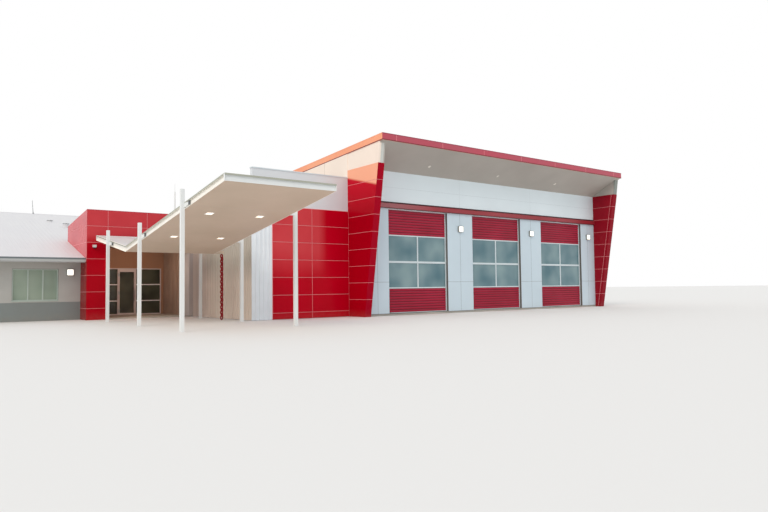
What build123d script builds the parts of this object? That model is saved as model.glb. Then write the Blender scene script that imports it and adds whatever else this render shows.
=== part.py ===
from build123d import *
import os

# A fire station: a tall appliance hall with three bay doors, a low building beside it,
# a butterfly canopy over the way to a recessed entry, and a gabled wing.
# Millimetres. X runs along the street front, Y runs back from the street, Z is up.
# The origin is at ground level under the middle of the hall's floor.

os.makedirs("parts", exist_ok=True)

# Appliance hall: plan
bay_count = 3
bay_pitch = 5290
door_width = 3600
end_pier_width = 1270
blade_thickness = 330
hall_depth = 16000
hall_wall_thickness = 250

# Appliance hall: heights
hall_slab_thickness = 80
door_head_z = 4820
panel_module = 723
blade_modules = 9
soffit_front_z = 7423
fascia_depth = 292
roof_fall = 0.0607
roof_overhang_front = 1730
roof_overhang_rear = 300
fascia_board = 40
fascia_lip = 60
front_lining_thickness = 60

# Leaning blades beside the doors
blade_foot_reach = 333
blade_top_reach = 1420
cap_setback = 10
cap_top_reach = 1440
cap_inset = 20
joint_width = 20
joint_depth = 8
blade_joint_lift = 30

# Hood over the doors
hood_gap = 5
hood_height = 255
hood_reach = 90
hood_nose_height = 215

# Bay doors
door_setback = 120
door_thickness = 60
door_gap = 5
door_stile = 60
door_rail = 50
door_lower_panel_height = 1130
door_glass_height = 2440
door_glass_thickness = 12
rib_count = 9
rib_depth = 22
rib_groove_share = 0.15
rib_slope_share = 0.15

# Lights
wall_light_size = 300
wall_light_depth = 90
wall_light_corner = 30
wall_light_z = 4075
wing_light_z = 2104
wing_light_gap = 430

# Low building between the hall and the entry
low_wall_setback = 880
low_width = 4630
low_wall_thickness = 200
low_wall_height = 6163
low_side_height = 5200
band_bottom_z = 4656
red_panel_columns = 2
red_panel_width = 1880
red_panel_rows = 6
red_panel_height = 732
panel_thickness = 40
panel_foot_gap = 12
rib_sheet_thickness = 45
sheet_rib_pitch = 190
sheet_rib_width = 70
sheet_rib_height = 30
sheet_corner_gap = 3
low_roof_z = 4850
low_roof_thickness = 200
coping_height = 40
coping_reach = 25
inner_opening_z = 2700

# Gabled wing
floor_thickness = 50
wing_length = 12636
wing_wall_thickness = 200
wing_front_setback = 8373
wing_pitch_rise = 0.268
wing_half_depth = 10621
eave_reach = 864
wing_roof_thickness = 200
wing_eave_top_z = 2715
wing_gable_reach = 490
ridge_cap_width = 360
ridge_cap_thickness = 12
gutter_width = 120
gutter_depth = 170
gutter_wall = 6
vent_sizes = [(140, 2444, 125, 60), (650, 4044, 145, 190)]
window_width = 1784
window_sill_z = 869
window_head_z = 2250
window_side_gap = 890
window_pitch = 4300
window_frame_width = 50
window_frame_depth = 90
window_setback = 60
window_glass_thickness = 10
window_lights = 3
front_window_count = 2
rear_window_count = 3

# Entry block and screen
entry_width = 4770
leg_width = 877
leg_joint_count = 4
leg_wall_thickness = 150
head_front_setback = 7262
head_depth = 3865
head_modules = 2
head_panel_width = 1704
head_top_z = 4841
head_fall = 0.115
head_wall_thickness = 150
head_roof_drop = 120
head_roof_thickness = 120
porch_ceiling_thickness = 60
screen_width = 3430
screen_end_gap = 320
porch_side_reach = 185
screen_head_z = 2400
screen_setback = 20
screen_frame_width = 50
screen_frame_depth = 110
screen_transom_low_z = 751
screen_transom_high_z = 1570
door_opening_width = 811
door_opening_top_z = 2275
leaf_gap = 6
leaf_thickness = 45
leaf_rail = 90
leaf_stile = 55
leaf_glass_thickness = 10
hinge_radius = 9
hinge_length = 110
hinge_count = 3
hinge_end_gap = 200
hinge_flap = 3
hinge_face_gap = 1
hinge_end_knuckle = 32
hinge_knuckle_gap = 0.3
hinge_frame_reach = 30
handle_radius = 15
handle_length = 600
handle_z = 1050
handle_reach = 55
handle_inset = 28
handle_post_radius = 10
handle_post_inset = 90
camera_radius = 68
camera_dome_radius = 63
camera_base = 100
camera_z = 3180
camera_inset = 306
camera_dome_sides = 16
camera_dome_slope = 34

# Canopy
canopy_width = 3550
canopy_wall_gap = 910
canopy_front_reach = 6694
valley_setback = 2507
canopy_back_setback = 6953
canopy_front_soffit_z = 4150
valley_soffit_z = 2730
canopy_back_soffit_z = 3460
beam_depth = 213
beam_flange = 60
beam_web = 12
canopy_lining_thickness = 16
canopy_sheet_thickness = 30
gutter_half_width = 130
gutter_sheet = 5
gutter_lap = 25
valley_gutter_height = 140
spout_height = 110
post_size = 115
post_pitch = 4230
post_first_reach = 3700
post_right_gap = 222
post_rise = 400
post_count = 3
cleat_length = 150
cleat_height = 130
cleat_thickness = 12
downlight_size = 250
downlight_depth = 40
downlight_gap = 0.3
downlight_trim = 18
downlight_drop = 5
downlight_rows = 2
downlight_edge_gap = 910
downlight_first_run = 3260
downlight_pitch = 3220
chain_cup_count = 14
chain_cup_radius = 62
chain_cup_taper = 6
chain_cup_sides = 12
chain_spout_reach = 310

# Places worked out from the sizes above
door_span = (bay_count - 1) * bay_pitch + door_width
hall_inner_half = door_span / 2 + end_pier_width
hall_half = hall_inner_half + blade_thickness
front_y = -hall_depth / 2
rear_y = hall_depth / 2
low_front_y = front_y + low_wall_setback
low_left_x = -hall_half - low_width
blade_top_z = panel_module * blade_modules
fascia_top_z = soffit_front_z + fascia_depth
roof_front_y = front_y - roof_overhang_front
roof_rear_y = rear_y + roof_overhang_rear
bay_centres = [(i - (bay_count - 1) / 2) * bay_pitch for i in range(bay_count)]


def roof_under(y):
    """Height of the hall roof's underside at a distance along Y."""
    return soffit_front_z - roof_fall * (y - roof_front_y)


def save(piece, label):
    """Name a finished piece and write it to its own file."""
    piece.part.label = label
    export_step(piece.part, f"parts/{label}.step")


def block(x_low, x_high, y_low, y_high, z_low, z_high, mode=Mode.ADD):
    """A straight slab between two limits on each axis, in the current part."""
    with Locations(((x_low + x_high) / 2, (y_low + y_high) / 2, (z_low + z_high) / 2)):
        Box(x_high - x_low, y_high - y_low, z_high - z_low, mode=mode)


def outline(plane, points):
    """A closed straight-sided face on a plane."""
    with BuildSketch(plane) as face:
        with BuildLine():
            Polyline(*points, close=True)
        make_face()
    return face.sketch


def side_prism(points, x_low, x_high, mode=Mode.ADD):
    """A side view outline of (y, z) points, carried from one X to another."""
    extrude(outline(Plane.YZ.offset(x_low), points), amount=x_high - x_low, mode=mode)


def hall_floor_piece():
    """A slab between the blades at the front and between the side walls behind them."""
    half = hall_half - hall_wall_thickness
    with BuildPart() as hall_floor:
        block(-hall_inner_half, hall_inner_half, front_y, low_front_y, 0, hall_slab_thickness)
        block(-half, half, low_front_y, rear_y, 0, hall_slab_thickness)
    save(hall_floor, "hall_floor")


def front_piers_piece():
    """Four piers beside the doors, standing on the slab."""
    edges = [-hall_inner_half]
    for centre in bay_centres:
        edges += [centre - door_width / 2, centre + door_width / 2]
    edges.append(hall_inner_half)
    with BuildPart() as front_piers:
        for left, right in zip(edges[0::2], edges[1::2]):
            block(left, right, front_y, front_y + hall_wall_thickness,
                  hall_slab_thickness, door_head_z)
    save(front_piers, "front_piers")


def sign_band_piece():
    """The wall over the doors, up to the sloping roof."""
    back_y = front_y + hall_wall_thickness
    cap_half = hall_inner_half + cap_inset
    with BuildPart() as sign_band:
        for low, half in ((door_head_z, hall_inner_half), (blade_top_z, cap_half)):
            side_prism([(front_y, low), (back_y, low), (back_y, roof_under(back_y)),
                        (front_y, roof_under(front_y))], -half, half)
    save(sign_band, "sign_band_wall")


def door_hood_piece():
    """A folded red hood right across, just over the door heads."""
    low = door_head_z + hood_gap
    with BuildPart() as door_hood:
        side_prism([(front_y, low), (front_y, low + hood_height),
                    (front_y - hood_reach, low + hood_nose_height), (front_y - hood_reach, low)],
                   -hall_inner_half, hall_inner_half)
    save(door_hood, "door_hood")


def blade_reach(z):
    """How far a blade's leaning front edge stands out before the doors at a height."""
    return blade_foot_reach + (blade_top_reach - blade_foot_reach) * z / blade_top_z


def blades_piece():
    """Two leaning blades with their level joints cut all round."""
    with BuildPart() as blades:
        for side in (-1, 1):
            inner, outer = side * hall_inner_half, side * hall_half
            side_prism([(front_y - blade_foot_reach, 0), (low_front_y, 0),
                        (low_front_y, blade_top_z), (front_y - blade_top_reach, blade_top_z)],
                       min(inner, outer), max(inner, outer))
        for row in range(1, blade_modules):
            z = row * panel_module + blade_joint_lift
            low, high = z - joint_width / 2, z + joint_width / 2
            nose_y = front_y - blade_reach(z)
            for x in (-hall_half, -hall_inner_half, hall_inner_half, hall_half):
                block(x - joint_depth, x + joint_depth, nose_y - joint_width, low_front_y,
                      low, high, mode=Mode.SUBTRACT)
            block(-hall_half, hall_half, nose_y - joint_width, nose_y + joint_depth,
                  low, high, mode=Mode.SUBTRACT)
    save(blades, "blades")


def blade_caps_piece():
    """The pale parts that carry each blade up to the roof."""
    with BuildPart() as blade_caps:
        for side in (-1, 1):
            inner, outer = side * (hall_inner_half + cap_inset), side * (hall_half - cap_inset)
            side_prism([(front_y - blade_top_reach + cap_setback, blade_top_z),
                        (low_front_y, blade_top_z), (low_front_y, roof_under(low_front_y)),
                        (front_y - cap_top_reach, roof_under(front_y - cap_top_reach))],
                       min(inner, outer), max(inner, outer))
    save(blade_caps, "blade_caps")


def hall_side_walls_piece():
    with BuildPart() as hall_side_walls:
        for side in (-1, 1):
            inner, outer = side * (hall_half - hall_wall_thickness), side * hall_half
            side_prism([(low_front_y, 0), (rear_y, 0), (rear_y, roof_under(rear_y)),
                        (low_front_y, roof_under(low_front_y))],
                       min(inner, outer), max(inner, outer))
    save(hall_side_walls, "hall_side_walls")


def hall_rear_wall_piece():
    front = rear_y - hall_wall_thickness
    half = hall_half - hall_wall_thickness
    with BuildPart() as hall_rear_wall:
        side_prism([(front, hall_slab_thickness), (rear_y, hall_slab_thickness),
                    (rear_y, roof_under(rear_y)), (front, roof_under(front))], -half, half)
    save(hall_rear_wall, "hall_rear_wall")


def hall_roof_piece():
    """The sloping deck that lies inside the fascia."""
    y_low, y_high = roof_front_y + fascia_board, roof_rear_y - fascia_board
    half = hall_half - fascia_board
    with BuildPart() as hall_roof:
        side_prism([(y_low, roof_under(y_low)), (y_high, roof_under(y_high)),
                    (y_high, roof_under(y_high) + fascia_depth - fascia_lip),
                    (y_low, roof_under(y_low) + fascia_depth - fascia_lip)], -half, half)
    save(hall_roof, "hall_roof")


def roof_fascia_piece():
    """The red boards round the roof, one ring with level ends and raking sides."""
    with BuildPart() as roof_fascia:
        side_prism([(roof_front_y, roof_under(roof_front_y)), (roof_rear_y, roof_under(roof_rear_y)),
                    (roof_rear_y, roof_under(roof_rear_y) + fascia_depth),
                    (roof_front_y, fascia_top_z)], -hall_half, hall_half)
        half = hall_half - fascia_board
        block(-half, half, roof_front_y + fascia_board, roof_rear_y - fascia_board,
              0, fascia_top_z, mode=Mode.SUBTRACT)
    save(roof_fascia, "roof_fascia")


def front_lining_piece():
    """The grey lining that slopes from the fascia back down to the wall, with a short
    return before each blade cap."""
    y_out, cap_y = roof_front_y + fascia_board, front_y - cap_top_reach
    share = (cap_y - y_out) / (front_y - y_out)
    cap_z = roof_under(y_out) + share * (blade_top_z - roof_under(y_out))
    inner, outer = hall_inner_half + cap_inset, hall_half - fascia_board
    with BuildPart() as front_lining:
        for low, high in ((-outer, -inner), (inner, outer)):
            side_prism([(y_out, roof_under(y_out)), (cap_y, cap_z), (cap_y, roof_under(cap_y))],
                       low, high)
        side_prism([(y_out, roof_under(y_out)), (front_y, blade_top_z),
                    (front_y, blade_top_z + front_lining_thickness),
                    (y_out + front_lining_thickness, roof_under(y_out + front_lining_thickness))],
                   -inner, inner)
    save(front_lining, "front_lining")


def rib_profile(y_front, z_low, z_high):
    """Side view of a ribbed door section: level ribs with sloping sides."""
    pitch = (z_high - z_low) / rib_count
    groove, slope = pitch * rib_groove_share, pitch * rib_slope_share
    points = [(y_front + door_thickness - rib_depth, z_low)]
    points.append((y_front + door_thickness - rib_depth, z_high))
    for i in range(rib_count, 0, -1):
        z = z_low + i * pitch
        points += [(y_front + rib_depth, z), (y_front + rib_depth, z - groove),
                   (y_front, z - groove - slope), (y_front, z - pitch + slope)]
    points.append((y_front + rib_depth, z_low))
    return points


def door_cells(centre):
    """Openings in one door's frame as X and Z limits: ribbed sections, then glass."""
    left, right = centre - door_width / 2 + door_gap, centre + door_width / 2 - door_gap
    in_left, in_right = left + door_stile, right - door_stile
    lower_top = hall_slab_thickness + door_lower_panel_height
    glass_top = lower_top + door_glass_height
    middle_z = (lower_top + glass_top) / 2
    sections = [(in_left, in_right, hall_slab_thickness + door_rail, lower_top),
                (in_left, in_right, glass_top, door_head_z - door_gap - door_rail)]
    panes = [(x_low, x_high, z_low, z_high)
             for x_low, x_high in ((in_left, centre - door_stile / 2),
                                   (centre + door_stile / 2, in_right))
             for z_low, z_high in ((lower_top + door_rail, middle_z - door_rail / 2),
                                   (middle_z + door_rail / 2, glass_top - door_rail))]
    return sections, panes


def bay_door_pieces():
    """Three sectional doors: white frames, red ribbed sections and two rows of glass."""
    y = front_y + door_setback
    half = door_width / 2 - door_gap
    cells = [door_cells(centre) for centre in bay_centres]
    with BuildPart() as frames:
        for centre, (sections, panes) in zip(bay_centres, cells):
            block(centre - half, centre + half, y, y + door_thickness,
                  hall_slab_thickness, door_head_z - door_gap)
            for x_low, x_high, z_low, z_high in sections + panes:
                block(x_low, x_high, y, y + door_thickness, z_low, z_high, mode=Mode.SUBTRACT)
    save(frames, "bay_door_frames")
    with BuildPart() as ribs:
        for sections, panes in cells:
            for x_low, x_high, z_low, z_high in sections:
                side_prism(rib_profile(y, z_low, z_high), x_low, x_high)
    save(ribs, "bay_door_ribs")
    glass_y = y + (door_thickness - door_glass_thickness) / 2
    with BuildPart() as glass:
        for sections, panes in cells:
            for x_low, x_high, z_low, z_high in panes:
                block(x_low, x_high, glass_y, glass_y + door_glass_thickness, z_low, z_high)
    save(glass, "bay_door_glass")


def wall_lights_piece():
    """Square bulkhead lights on the piers beside the doors, and one on the wing."""
    places = [(c + bay_pitch / 2, front_y, wall_light_z) for c in bay_centres[:-1]]
    places.append((hall_inner_half - end_pier_width / 2, front_y, wall_light_z))
    places.append((entry_left_x - wing_light_gap, wing_front_y, wing_light_z))
    with BuildPart() as wall_lights:
        for x, y, z in places:
            with BuildSketch(Plane.XZ.offset(-y)):
                with Locations((x, z)):
                    RectangleRounded(wall_light_size, wall_light_size, wall_light_corner)
            extrude(amount=wall_light_depth)
    save(wall_lights, "wall_lights")


low_rear_y = rear_y
wing_front_y = front_y + wing_front_setback
wing_left_x = low_left_x - wing_length
eave_front_y = wing_front_y - eave_reach
ridge_y = wing_front_y + wing_half_depth
wing_rear_y = ridge_y + wing_half_depth
eave_rear_y = wing_rear_y + eave_reach
head_front_y = front_y + head_front_setback
head_rear_y = head_front_y + head_depth
screen_y = head_rear_y - head_wall_thickness
entry_left_x = low_left_x - entry_width
head_bottom_z = head_top_z - head_modules * panel_module
screen_left_x = low_left_x - screen_end_gap - screen_width
screen_right_x = low_left_x - screen_end_gap
screen_middle_x = (screen_left_x + screen_right_x) / 2
screen_front_y = screen_y + screen_setback
door_opening_left_x = screen_middle_x - door_opening_width / 2
door_opening_right_x = screen_middle_x + door_opening_width / 2
canopy_right_x = low_left_x - canopy_wall_gap
canopy_left_x = canopy_right_x - canopy_width
canopy_front_y = front_y - canopy_front_reach
valley_y = front_y + valley_setback
canopy_back_y = front_y + canopy_back_setback
front_window_centres = [entry_left_x - window_side_gap - window_width / 2 - i * window_pitch
                        for i in range(front_window_count)]
rear_window_centres = [wing_left_x + (i + 0.5) * wing_length / rear_window_count
                       for i in range(rear_window_count)]
roof_vents_at = [(entry_left_x + across, ridge_y - down, radius, height)
                 for across, down, radius, height in vent_sizes]


def wing_roof_top(y):
    """Height of the wing's roof surface at a distance along Y."""
    return wing_eave_top_z + wing_pitch_rise * (wing_half_depth + eave_reach - abs(y - ridge_y))


def wing_roof_under(y):
    return wing_roof_top(y) - wing_roof_thickness


def low_floor_piece():
    """One slab under the low building, the porch and the wing."""
    top = floor_thickness
    low_in_y = low_front_y + low_wall_thickness
    wing_in_x, wing_in_y = wing_left_x + wing_wall_thickness, wing_front_y + wing_wall_thickness
    wing_back_y = wing_rear_y - wing_wall_thickness
    with BuildPart() as low_floor:
        block(low_left_x + low_wall_thickness, -hall_half, low_in_y,
              low_rear_y - low_wall_thickness, 0, top)
        block(low_left_x, low_left_x + low_wall_thickness, head_rear_y,
              low_rear_y - low_wall_thickness, 0, top)
        block(wing_in_x, low_left_x, head_rear_y, wing_back_y, 0, top)
        block(wing_in_x, entry_left_x, wing_in_y, head_rear_y, 0, top)
        block(entry_left_x + leg_width, low_left_x, head_front_y, head_rear_y, 0, top)
    save(low_floor, "low_floor")


def low_wall_pieces():
    """The tall front wall and the lower walls behind it, one over an inner opening."""
    inner_x = low_left_x + low_wall_thickness
    front_in_y, rear_in_y = low_front_y + low_wall_thickness, low_rear_y - low_wall_thickness
    with BuildPart() as low_front_wall:
        block(low_left_x, -hall_half, low_front_y, front_in_y, 0, low_wall_height)
    save(low_front_wall, "low_front_wall")
    with BuildPart() as low_side_wall:
        block(low_left_x, inner_x, front_in_y, head_rear_y, 0, low_side_height)
    save(low_side_wall, "low_side_wall")
    with BuildPart() as low_upper_wall:
        block(low_left_x, inner_x, head_rear_y, rear_in_y, inner_opening_z, low_side_height)
    save(low_upper_wall, "low_upper_wall")
    with BuildPart() as low_rear_wall:
        block(low_left_x, -hall_half, rear_in_y, low_rear_y, 0, low_side_height)
    save(low_rear_wall, "low_rear_wall")
    with BuildPart() as low_roof:
        block(inner_x, -hall_half, front_in_y, rear_in_y, low_roof_z, low_roof_z + low_roof_thickness)
    save(low_roof, "low_roof")


def parapet_coping_piece():
    """Thin cappings: one on the tall front wall, one along the lower walls."""
    left_x, inner_x = low_left_x - coping_reach, low_left_x + low_wall_thickness
    front_in_y = low_front_y + low_wall_thickness
    rear_in_y = low_rear_y - low_wall_thickness
    side_top = low_side_height + coping_height
    with BuildPart() as parapet_coping:
        block(left_x, -hall_half, low_front_y - coping_reach, front_in_y + coping_reach,
              low_wall_height, low_wall_height + coping_height)
        block(left_x, -hall_half, front_in_y, low_rear_y + coping_reach, low_side_height, side_top)
        block(inner_x, -hall_half, front_in_y, rear_in_y, low_side_height, side_top,
              mode=Mode.SUBTRACT)
    save(parapet_coping, "parapet_coping")


def red_front_panels_piece():
    """Flush red panels with open joints, in two columns up to the parapet band."""
    half_joint = joint_width / 2
    with BuildPart() as red_front_panels:
        for column in range(red_panel_columns):
            right = -hall_half - column * red_panel_width - half_joint
            left = right - red_panel_width + joint_width
            for row in range(red_panel_rows + 1):
                top = band_bottom_z - row * red_panel_height - half_joint
                low = max(top - red_panel_height + joint_width, panel_foot_gap)
                block(left, right, low_front_y - panel_thickness, low_front_y, low, top)
    save(red_front_panels, "red_front_panels")


def ribbed_sheet(plane, length, height):
    """Upright ribs on a thin sheet, drawn in plan on a plane and carried up."""
    base = rib_sheet_thickness - sheet_rib_height
    count = int(length // sheet_rib_pitch)
    margin = (length - (count - 1) * sheet_rib_pitch) / 2
    half, slope = sheet_rib_width / 2, sheet_rib_height / 2
    points = [(0, 0), (0, base)]
    for i in range(count):
        middle = margin + i * sheet_rib_pitch
        points += [(middle - half, base), (middle - half + slope, rib_sheet_thickness),
                   (middle + half - slope, rib_sheet_thickness), (middle + half, base)]
    points += [(length, base), (length, 0)]
    extrude(outline(plane, points), amount=height)


def ribbed_sheets_piece():
    """White ribbed sheet beside the red panels, and along the wall under the canopy."""
    red_left_x = -hall_half - red_panel_columns * red_panel_width
    corner_y, porch_y = low_front_y + sheet_corner_gap, head_front_y + joint_width
    height = band_bottom_z - panel_foot_gap
    front_plane = Plane((red_left_x, low_front_y, panel_foot_gap), x_dir=(-1, 0, 0), z_dir=(0, 0, 1))
    side_plane = Plane((low_left_x, corner_y, panel_foot_gap), x_dir=(0, 1, 0), z_dir=(0, 0, 1))
    porch_plane = Plane((low_left_x - porch_side_reach, porch_y, floor_thickness),
                        x_dir=(0, 1, 0), z_dir=(0, 0, 1))
    with BuildPart() as ribbed_sheets:
        ribbed_sheet(front_plane, red_left_x - low_left_x + rib_sheet_thickness, height)
        ribbed_sheet(side_plane, head_front_y - corner_y, height)
        ribbed_sheet(porch_plane, screen_y - porch_y, head_bottom_z - floor_thickness)
    save(ribbed_sheets, "ribbed_sheets")


def window_cuts(centres, y_low, y_high):
    for x in centres:
        block(x - window_width / 2, x + window_width / 2, y_low, y_high,
              window_sill_z, window_head_z, mode=Mode.SUBTRACT)


def wing_wall_pieces():
    """The wing's outer walls, cut through for their windows."""
    t = wing_wall_thickness
    front_in, rear_in = wing_front_y + t, wing_rear_y - t
    with BuildPart() as wing_front_wall:
        side_prism([(wing_front_y, 0), (front_in, 0), (front_in, wing_roof_under(front_in)),
                    (wing_front_y, wing_roof_under(wing_front_y))], wing_left_x, entry_left_x)
        window_cuts(front_window_centres, wing_front_y, front_in)
    save(wing_front_wall, "wing_front_wall")
    with BuildPart() as wing_rear_wall:
        side_prism([(rear_in, 0), (wing_rear_y, 0), (wing_rear_y, wing_roof_under(wing_rear_y)),
                    (rear_in, wing_roof_under(rear_in))], wing_left_x, low_left_x)
        window_cuts(rear_window_centres, rear_in, wing_rear_y)
    save(wing_rear_wall, "wing_rear_wall")
    with BuildPart() as wing_end_walls:
        side_prism([(front_in, 0), (rear_in, 0), (rear_in, wing_roof_under(rear_in)),
                    (ridge_y, wing_roof_under(ridge_y)), (front_in, wing_roof_under(front_in))],
                   wing_left_x, wing_left_x + t)
        side_prism([(low_rear_y, floor_thickness), (rear_in, floor_thickness),
                    (rear_in, wing_roof_under(rear_in)), (ridge_y, wing_roof_under(ridge_y)),
                    (low_rear_y, wing_roof_under(low_rear_y))], low_left_x - t, low_left_x)
    save(wing_end_walls, "wing_end_walls")


def window_pieces():
    """Aluminium frames with three lights each, and their glass."""
    half = window_width / 2
    bar = window_frame_width
    light = (window_width - bar * (window_lights + 1)) / window_lights
    rows = [(x, wing_front_y + window_setback) for x in front_window_centres]
    rows += [(x, wing_rear_y - window_setback - window_frame_depth) for x in rear_window_centres]
    glass_in = (window_frame_depth - window_glass_thickness) / 2
    with BuildPart() as wing_window_frames:
        for x, y in rows:
            block(x - half, x + half, y, y + window_frame_depth, window_sill_z, window_head_z)
            for i in range(window_lights):
                left = x - half + bar + i * (light + bar)
                block(left, left + light, y, y + window_frame_depth, window_sill_z + bar,
                      window_head_z - bar, mode=Mode.SUBTRACT)
    save(wing_window_frames, "wing_window_frames")
    with BuildPart() as wing_window_glass:
        for x, y in rows:
            for i in range(window_lights):
                left = x - half + bar + i * (light + bar)
                block(left, left + light, y + glass_in, y + glass_in + window_glass_thickness,
                      window_sill_z + bar, window_head_z - bar)
    save(wing_window_glass, "wing_window_glass")


def wing_roof_pieces():
    """Two roof slopes, the ridge capping and a gutter along each eave."""
    left_x, right_x = wing_left_x - wing_gable_reach, low_left_x
    ridge_top = wing_roof_top(ridge_y)
    for label, eave_y in (("wing_roof_front", eave_front_y), ("wing_roof_rear", eave_rear_y)):
        with BuildPart() as wing_roof:
            side_prism([(eave_y, wing_roof_under(eave_y)), (ridge_y, wing_roof_under(ridge_y)),
                        (ridge_y, ridge_top), (eave_y, wing_roof_top(eave_y))], left_x, right_x)
            if eave_y == eave_front_y:
                block(entry_left_x, low_left_x, eave_front_y, head_rear_y,
                      0, ridge_top, mode=Mode.SUBTRACT)
        save(wing_roof, label)
    half = ridge_cap_width / 2
    with BuildPart() as wing_ridge_cap:
        side_prism([(ridge_y - half, wing_roof_top(ridge_y - half)), (ridge_y, ridge_top),
                    (ridge_y + half, wing_roof_top(ridge_y + half)),
                    (ridge_y + half, wing_roof_top(ridge_y + half) + ridge_cap_thickness),
                    (ridge_y, ridge_top + ridge_cap_thickness),
                    (ridge_y - half, wing_roof_top(ridge_y - half) + ridge_cap_thickness)],
                   left_x, right_x)
    save(wing_ridge_cap, "wing_ridge_cap")
    top, low = wing_eave_top_z, wing_eave_top_z - gutter_depth
    with BuildPart() as wing_gutters:
        for eave_y, out, end_x in ((eave_front_y, -1, entry_left_x), (eave_rear_y, 1, low_left_x)):
            far, wall = eave_y + out * gutter_width, out * gutter_wall
            side_prism([(eave_y, top), (eave_y, low), (far, low), (far, top), (far - wall, top),
                        (far - wall, low + gutter_wall), (eave_y + wall, low + gutter_wall),
                        (eave_y + wall, top)], left_x, end_x)
    save(wing_gutters, "wing_gutters")


def roof_vents_piece():
    """Low round vents that stand on the front roof slope."""
    with BuildPart() as roof_vents:
        for x, y, radius, height in roof_vents_at:
            low = wing_roof_top(y - radius)
            disc = round_face(Plane.XY.offset(low), x, y, radius)
            extrude(disc, amount=wing_roof_top(y) + height - low)
        side_prism([(eave_front_y, 0), (ridge_y, 0), (ridge_y, wing_roof_top(ridge_y)),
                    (eave_front_y, wing_eave_top_z)], wing_left_x, low_left_x, mode=Mode.SUBTRACT)
    save(roof_vents, "roof_vents")


def entry_leg_piece():
    """The red leg at the left of the porch, a closed shaft with joints cut in its faces."""
    right_x = entry_left_x + leg_width
    wall = leg_wall_thickness
    with BuildPart() as entry_leg:
        block(entry_left_x, right_x, head_front_y, head_rear_y, 0, head_bottom_z)
        block(entry_left_x + wall, right_x - wall, head_front_y + wall, head_rear_y - wall,
              0, head_bottom_z, mode=Mode.SUBTRACT)
        for row in range(head_modules + 1, head_modules + leg_joint_count + 1):
            z = head_top_z - row * panel_module
            block(entry_left_x, right_x, head_front_y, head_front_y + joint_depth,
                  z - joint_width / 2, z + joint_width / 2, mode=Mode.SUBTRACT)
            block(entry_left_x, entry_left_x + joint_depth, head_front_y, wing_front_y,
                  z - joint_width / 2, z + joint_width / 2, mode=Mode.SUBTRACT)
    save(entry_leg, "entry_leg")


def head_roof_line(y):
    return head_top_z - head_fall * (y - head_front_y)


def entry_head_pieces():
    """The red block over the porch: three clad sides, its roof and the porch ceiling."""
    wall = head_wall_thickness
    joint_z = head_top_z - panel_module
    with BuildPart() as entry_head:
        side_prism([(head_front_y, head_bottom_z), (head_rear_y, head_bottom_z),
                    (head_rear_y, head_roof_line(head_rear_y)), (head_front_y, head_top_z)],
                   entry_left_x, low_left_x)
        block(entry_left_x + wall, low_left_x, head_front_y + wall, head_rear_y - wall,
              head_bottom_z, head_top_z, mode=Mode.SUBTRACT)
        block(entry_left_x, low_left_x, head_front_y, head_front_y + joint_depth,
              joint_z - joint_width / 2, joint_z + joint_width / 2, mode=Mode.SUBTRACT)
        block(entry_left_x, entry_left_x + joint_depth, head_front_y, head_rear_y,
              joint_z - joint_width / 2, joint_z + joint_width / 2, mode=Mode.SUBTRACT)
        for x in (entry_left_x + leg_width, entry_left_x + leg_width + head_panel_width):
            block(x - joint_width / 2, x + joint_width / 2, head_front_y,
                  head_front_y + joint_depth, head_bottom_z, head_top_z, mode=Mode.SUBTRACT)
    save(entry_head, "entry_head")
    y_low, y_high = head_front_y + wall, head_rear_y - wall
    with BuildPart() as entry_head_roof:
        side_prism([(y, head_roof_line(y) - head_roof_drop) for y in (y_low, y_high)]
                   + [(y, head_roof_line(y) - head_roof_drop - head_roof_thickness)
                      for y in (y_high, y_low)], entry_left_x + wall, low_left_x)
    save(entry_head_roof, "entry_head_roof")
    with BuildPart() as porch_ceiling:
        block(entry_left_x + wall, low_left_x, y_low, y_high,
              head_bottom_z, head_bottom_z + porch_ceiling_thickness)
    save(porch_ceiling, "porch_ceiling")


def entry_wall_pieces():
    """The lining wall at the porch's right, and the wall beside and over the glazed screen."""
    with BuildPart() as porch_side_wall:
        block(low_left_x - porch_side_reach, low_left_x, head_front_y + joint_width, screen_y,
              floor_thickness, head_bottom_z)
    save(porch_side_wall, "porch_side_wall")
    with BuildPart() as entry_side_walls:
        for left, right in ((entry_left_x + leg_width, screen_left_x), (screen_right_x, low_left_x)):
            block(left, right, screen_y, head_rear_y, floor_thickness, head_bottom_z)
    save(entry_side_walls, "entry_side_walls")
    with BuildPart() as entry_wall_over:
        block(screen_left_x, screen_right_x, screen_y, head_rear_y, screen_head_z, head_bottom_z)
    save(entry_wall_over, "entry_wall_over")


def screen_lites():
    """Openings of the fixed side lights: two stacks of three."""
    bar, low, top = screen_frame_width, floor_thickness, screen_head_z
    levels = [(low + bar, screen_transom_low_z - bar / 2),
              (screen_transom_low_z + bar / 2, screen_transom_high_z - bar / 2),
              (screen_transom_high_z + bar / 2, top - bar)]
    sides = [(screen_left_x + bar, door_opening_left_x - bar),
             (door_opening_right_x + bar, screen_right_x - bar)]
    return [(left, right, z_low, z_high) for left, right in sides for z_low, z_high in levels]


def entry_screen_pieces():
    """The aluminium screen round the entry door, and its fixed glass."""
    back = screen_front_y + screen_frame_depth
    with BuildPart() as screen_frame:
        block(screen_left_x, screen_right_x, screen_front_y, back, floor_thickness, screen_head_z)
        for left, right, z_low, z_high in screen_lites():
            block(left, right, screen_front_y, back, z_low, z_high, mode=Mode.SUBTRACT)
        block(door_opening_left_x, door_opening_right_x, screen_front_y, back,
              floor_thickness, door_opening_top_z, mode=Mode.SUBTRACT)
    save(screen_frame, "entry_screen_frame")
    glass_y = screen_front_y + (screen_frame_depth - leaf_glass_thickness) / 2
    with BuildPart() as screen_glass:
        for left, right, z_low, z_high in screen_lites():
            block(left, right, glass_y, glass_y + leaf_glass_thickness, z_low, z_high)
    save(screen_glass, "entry_screen_glass")


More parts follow.
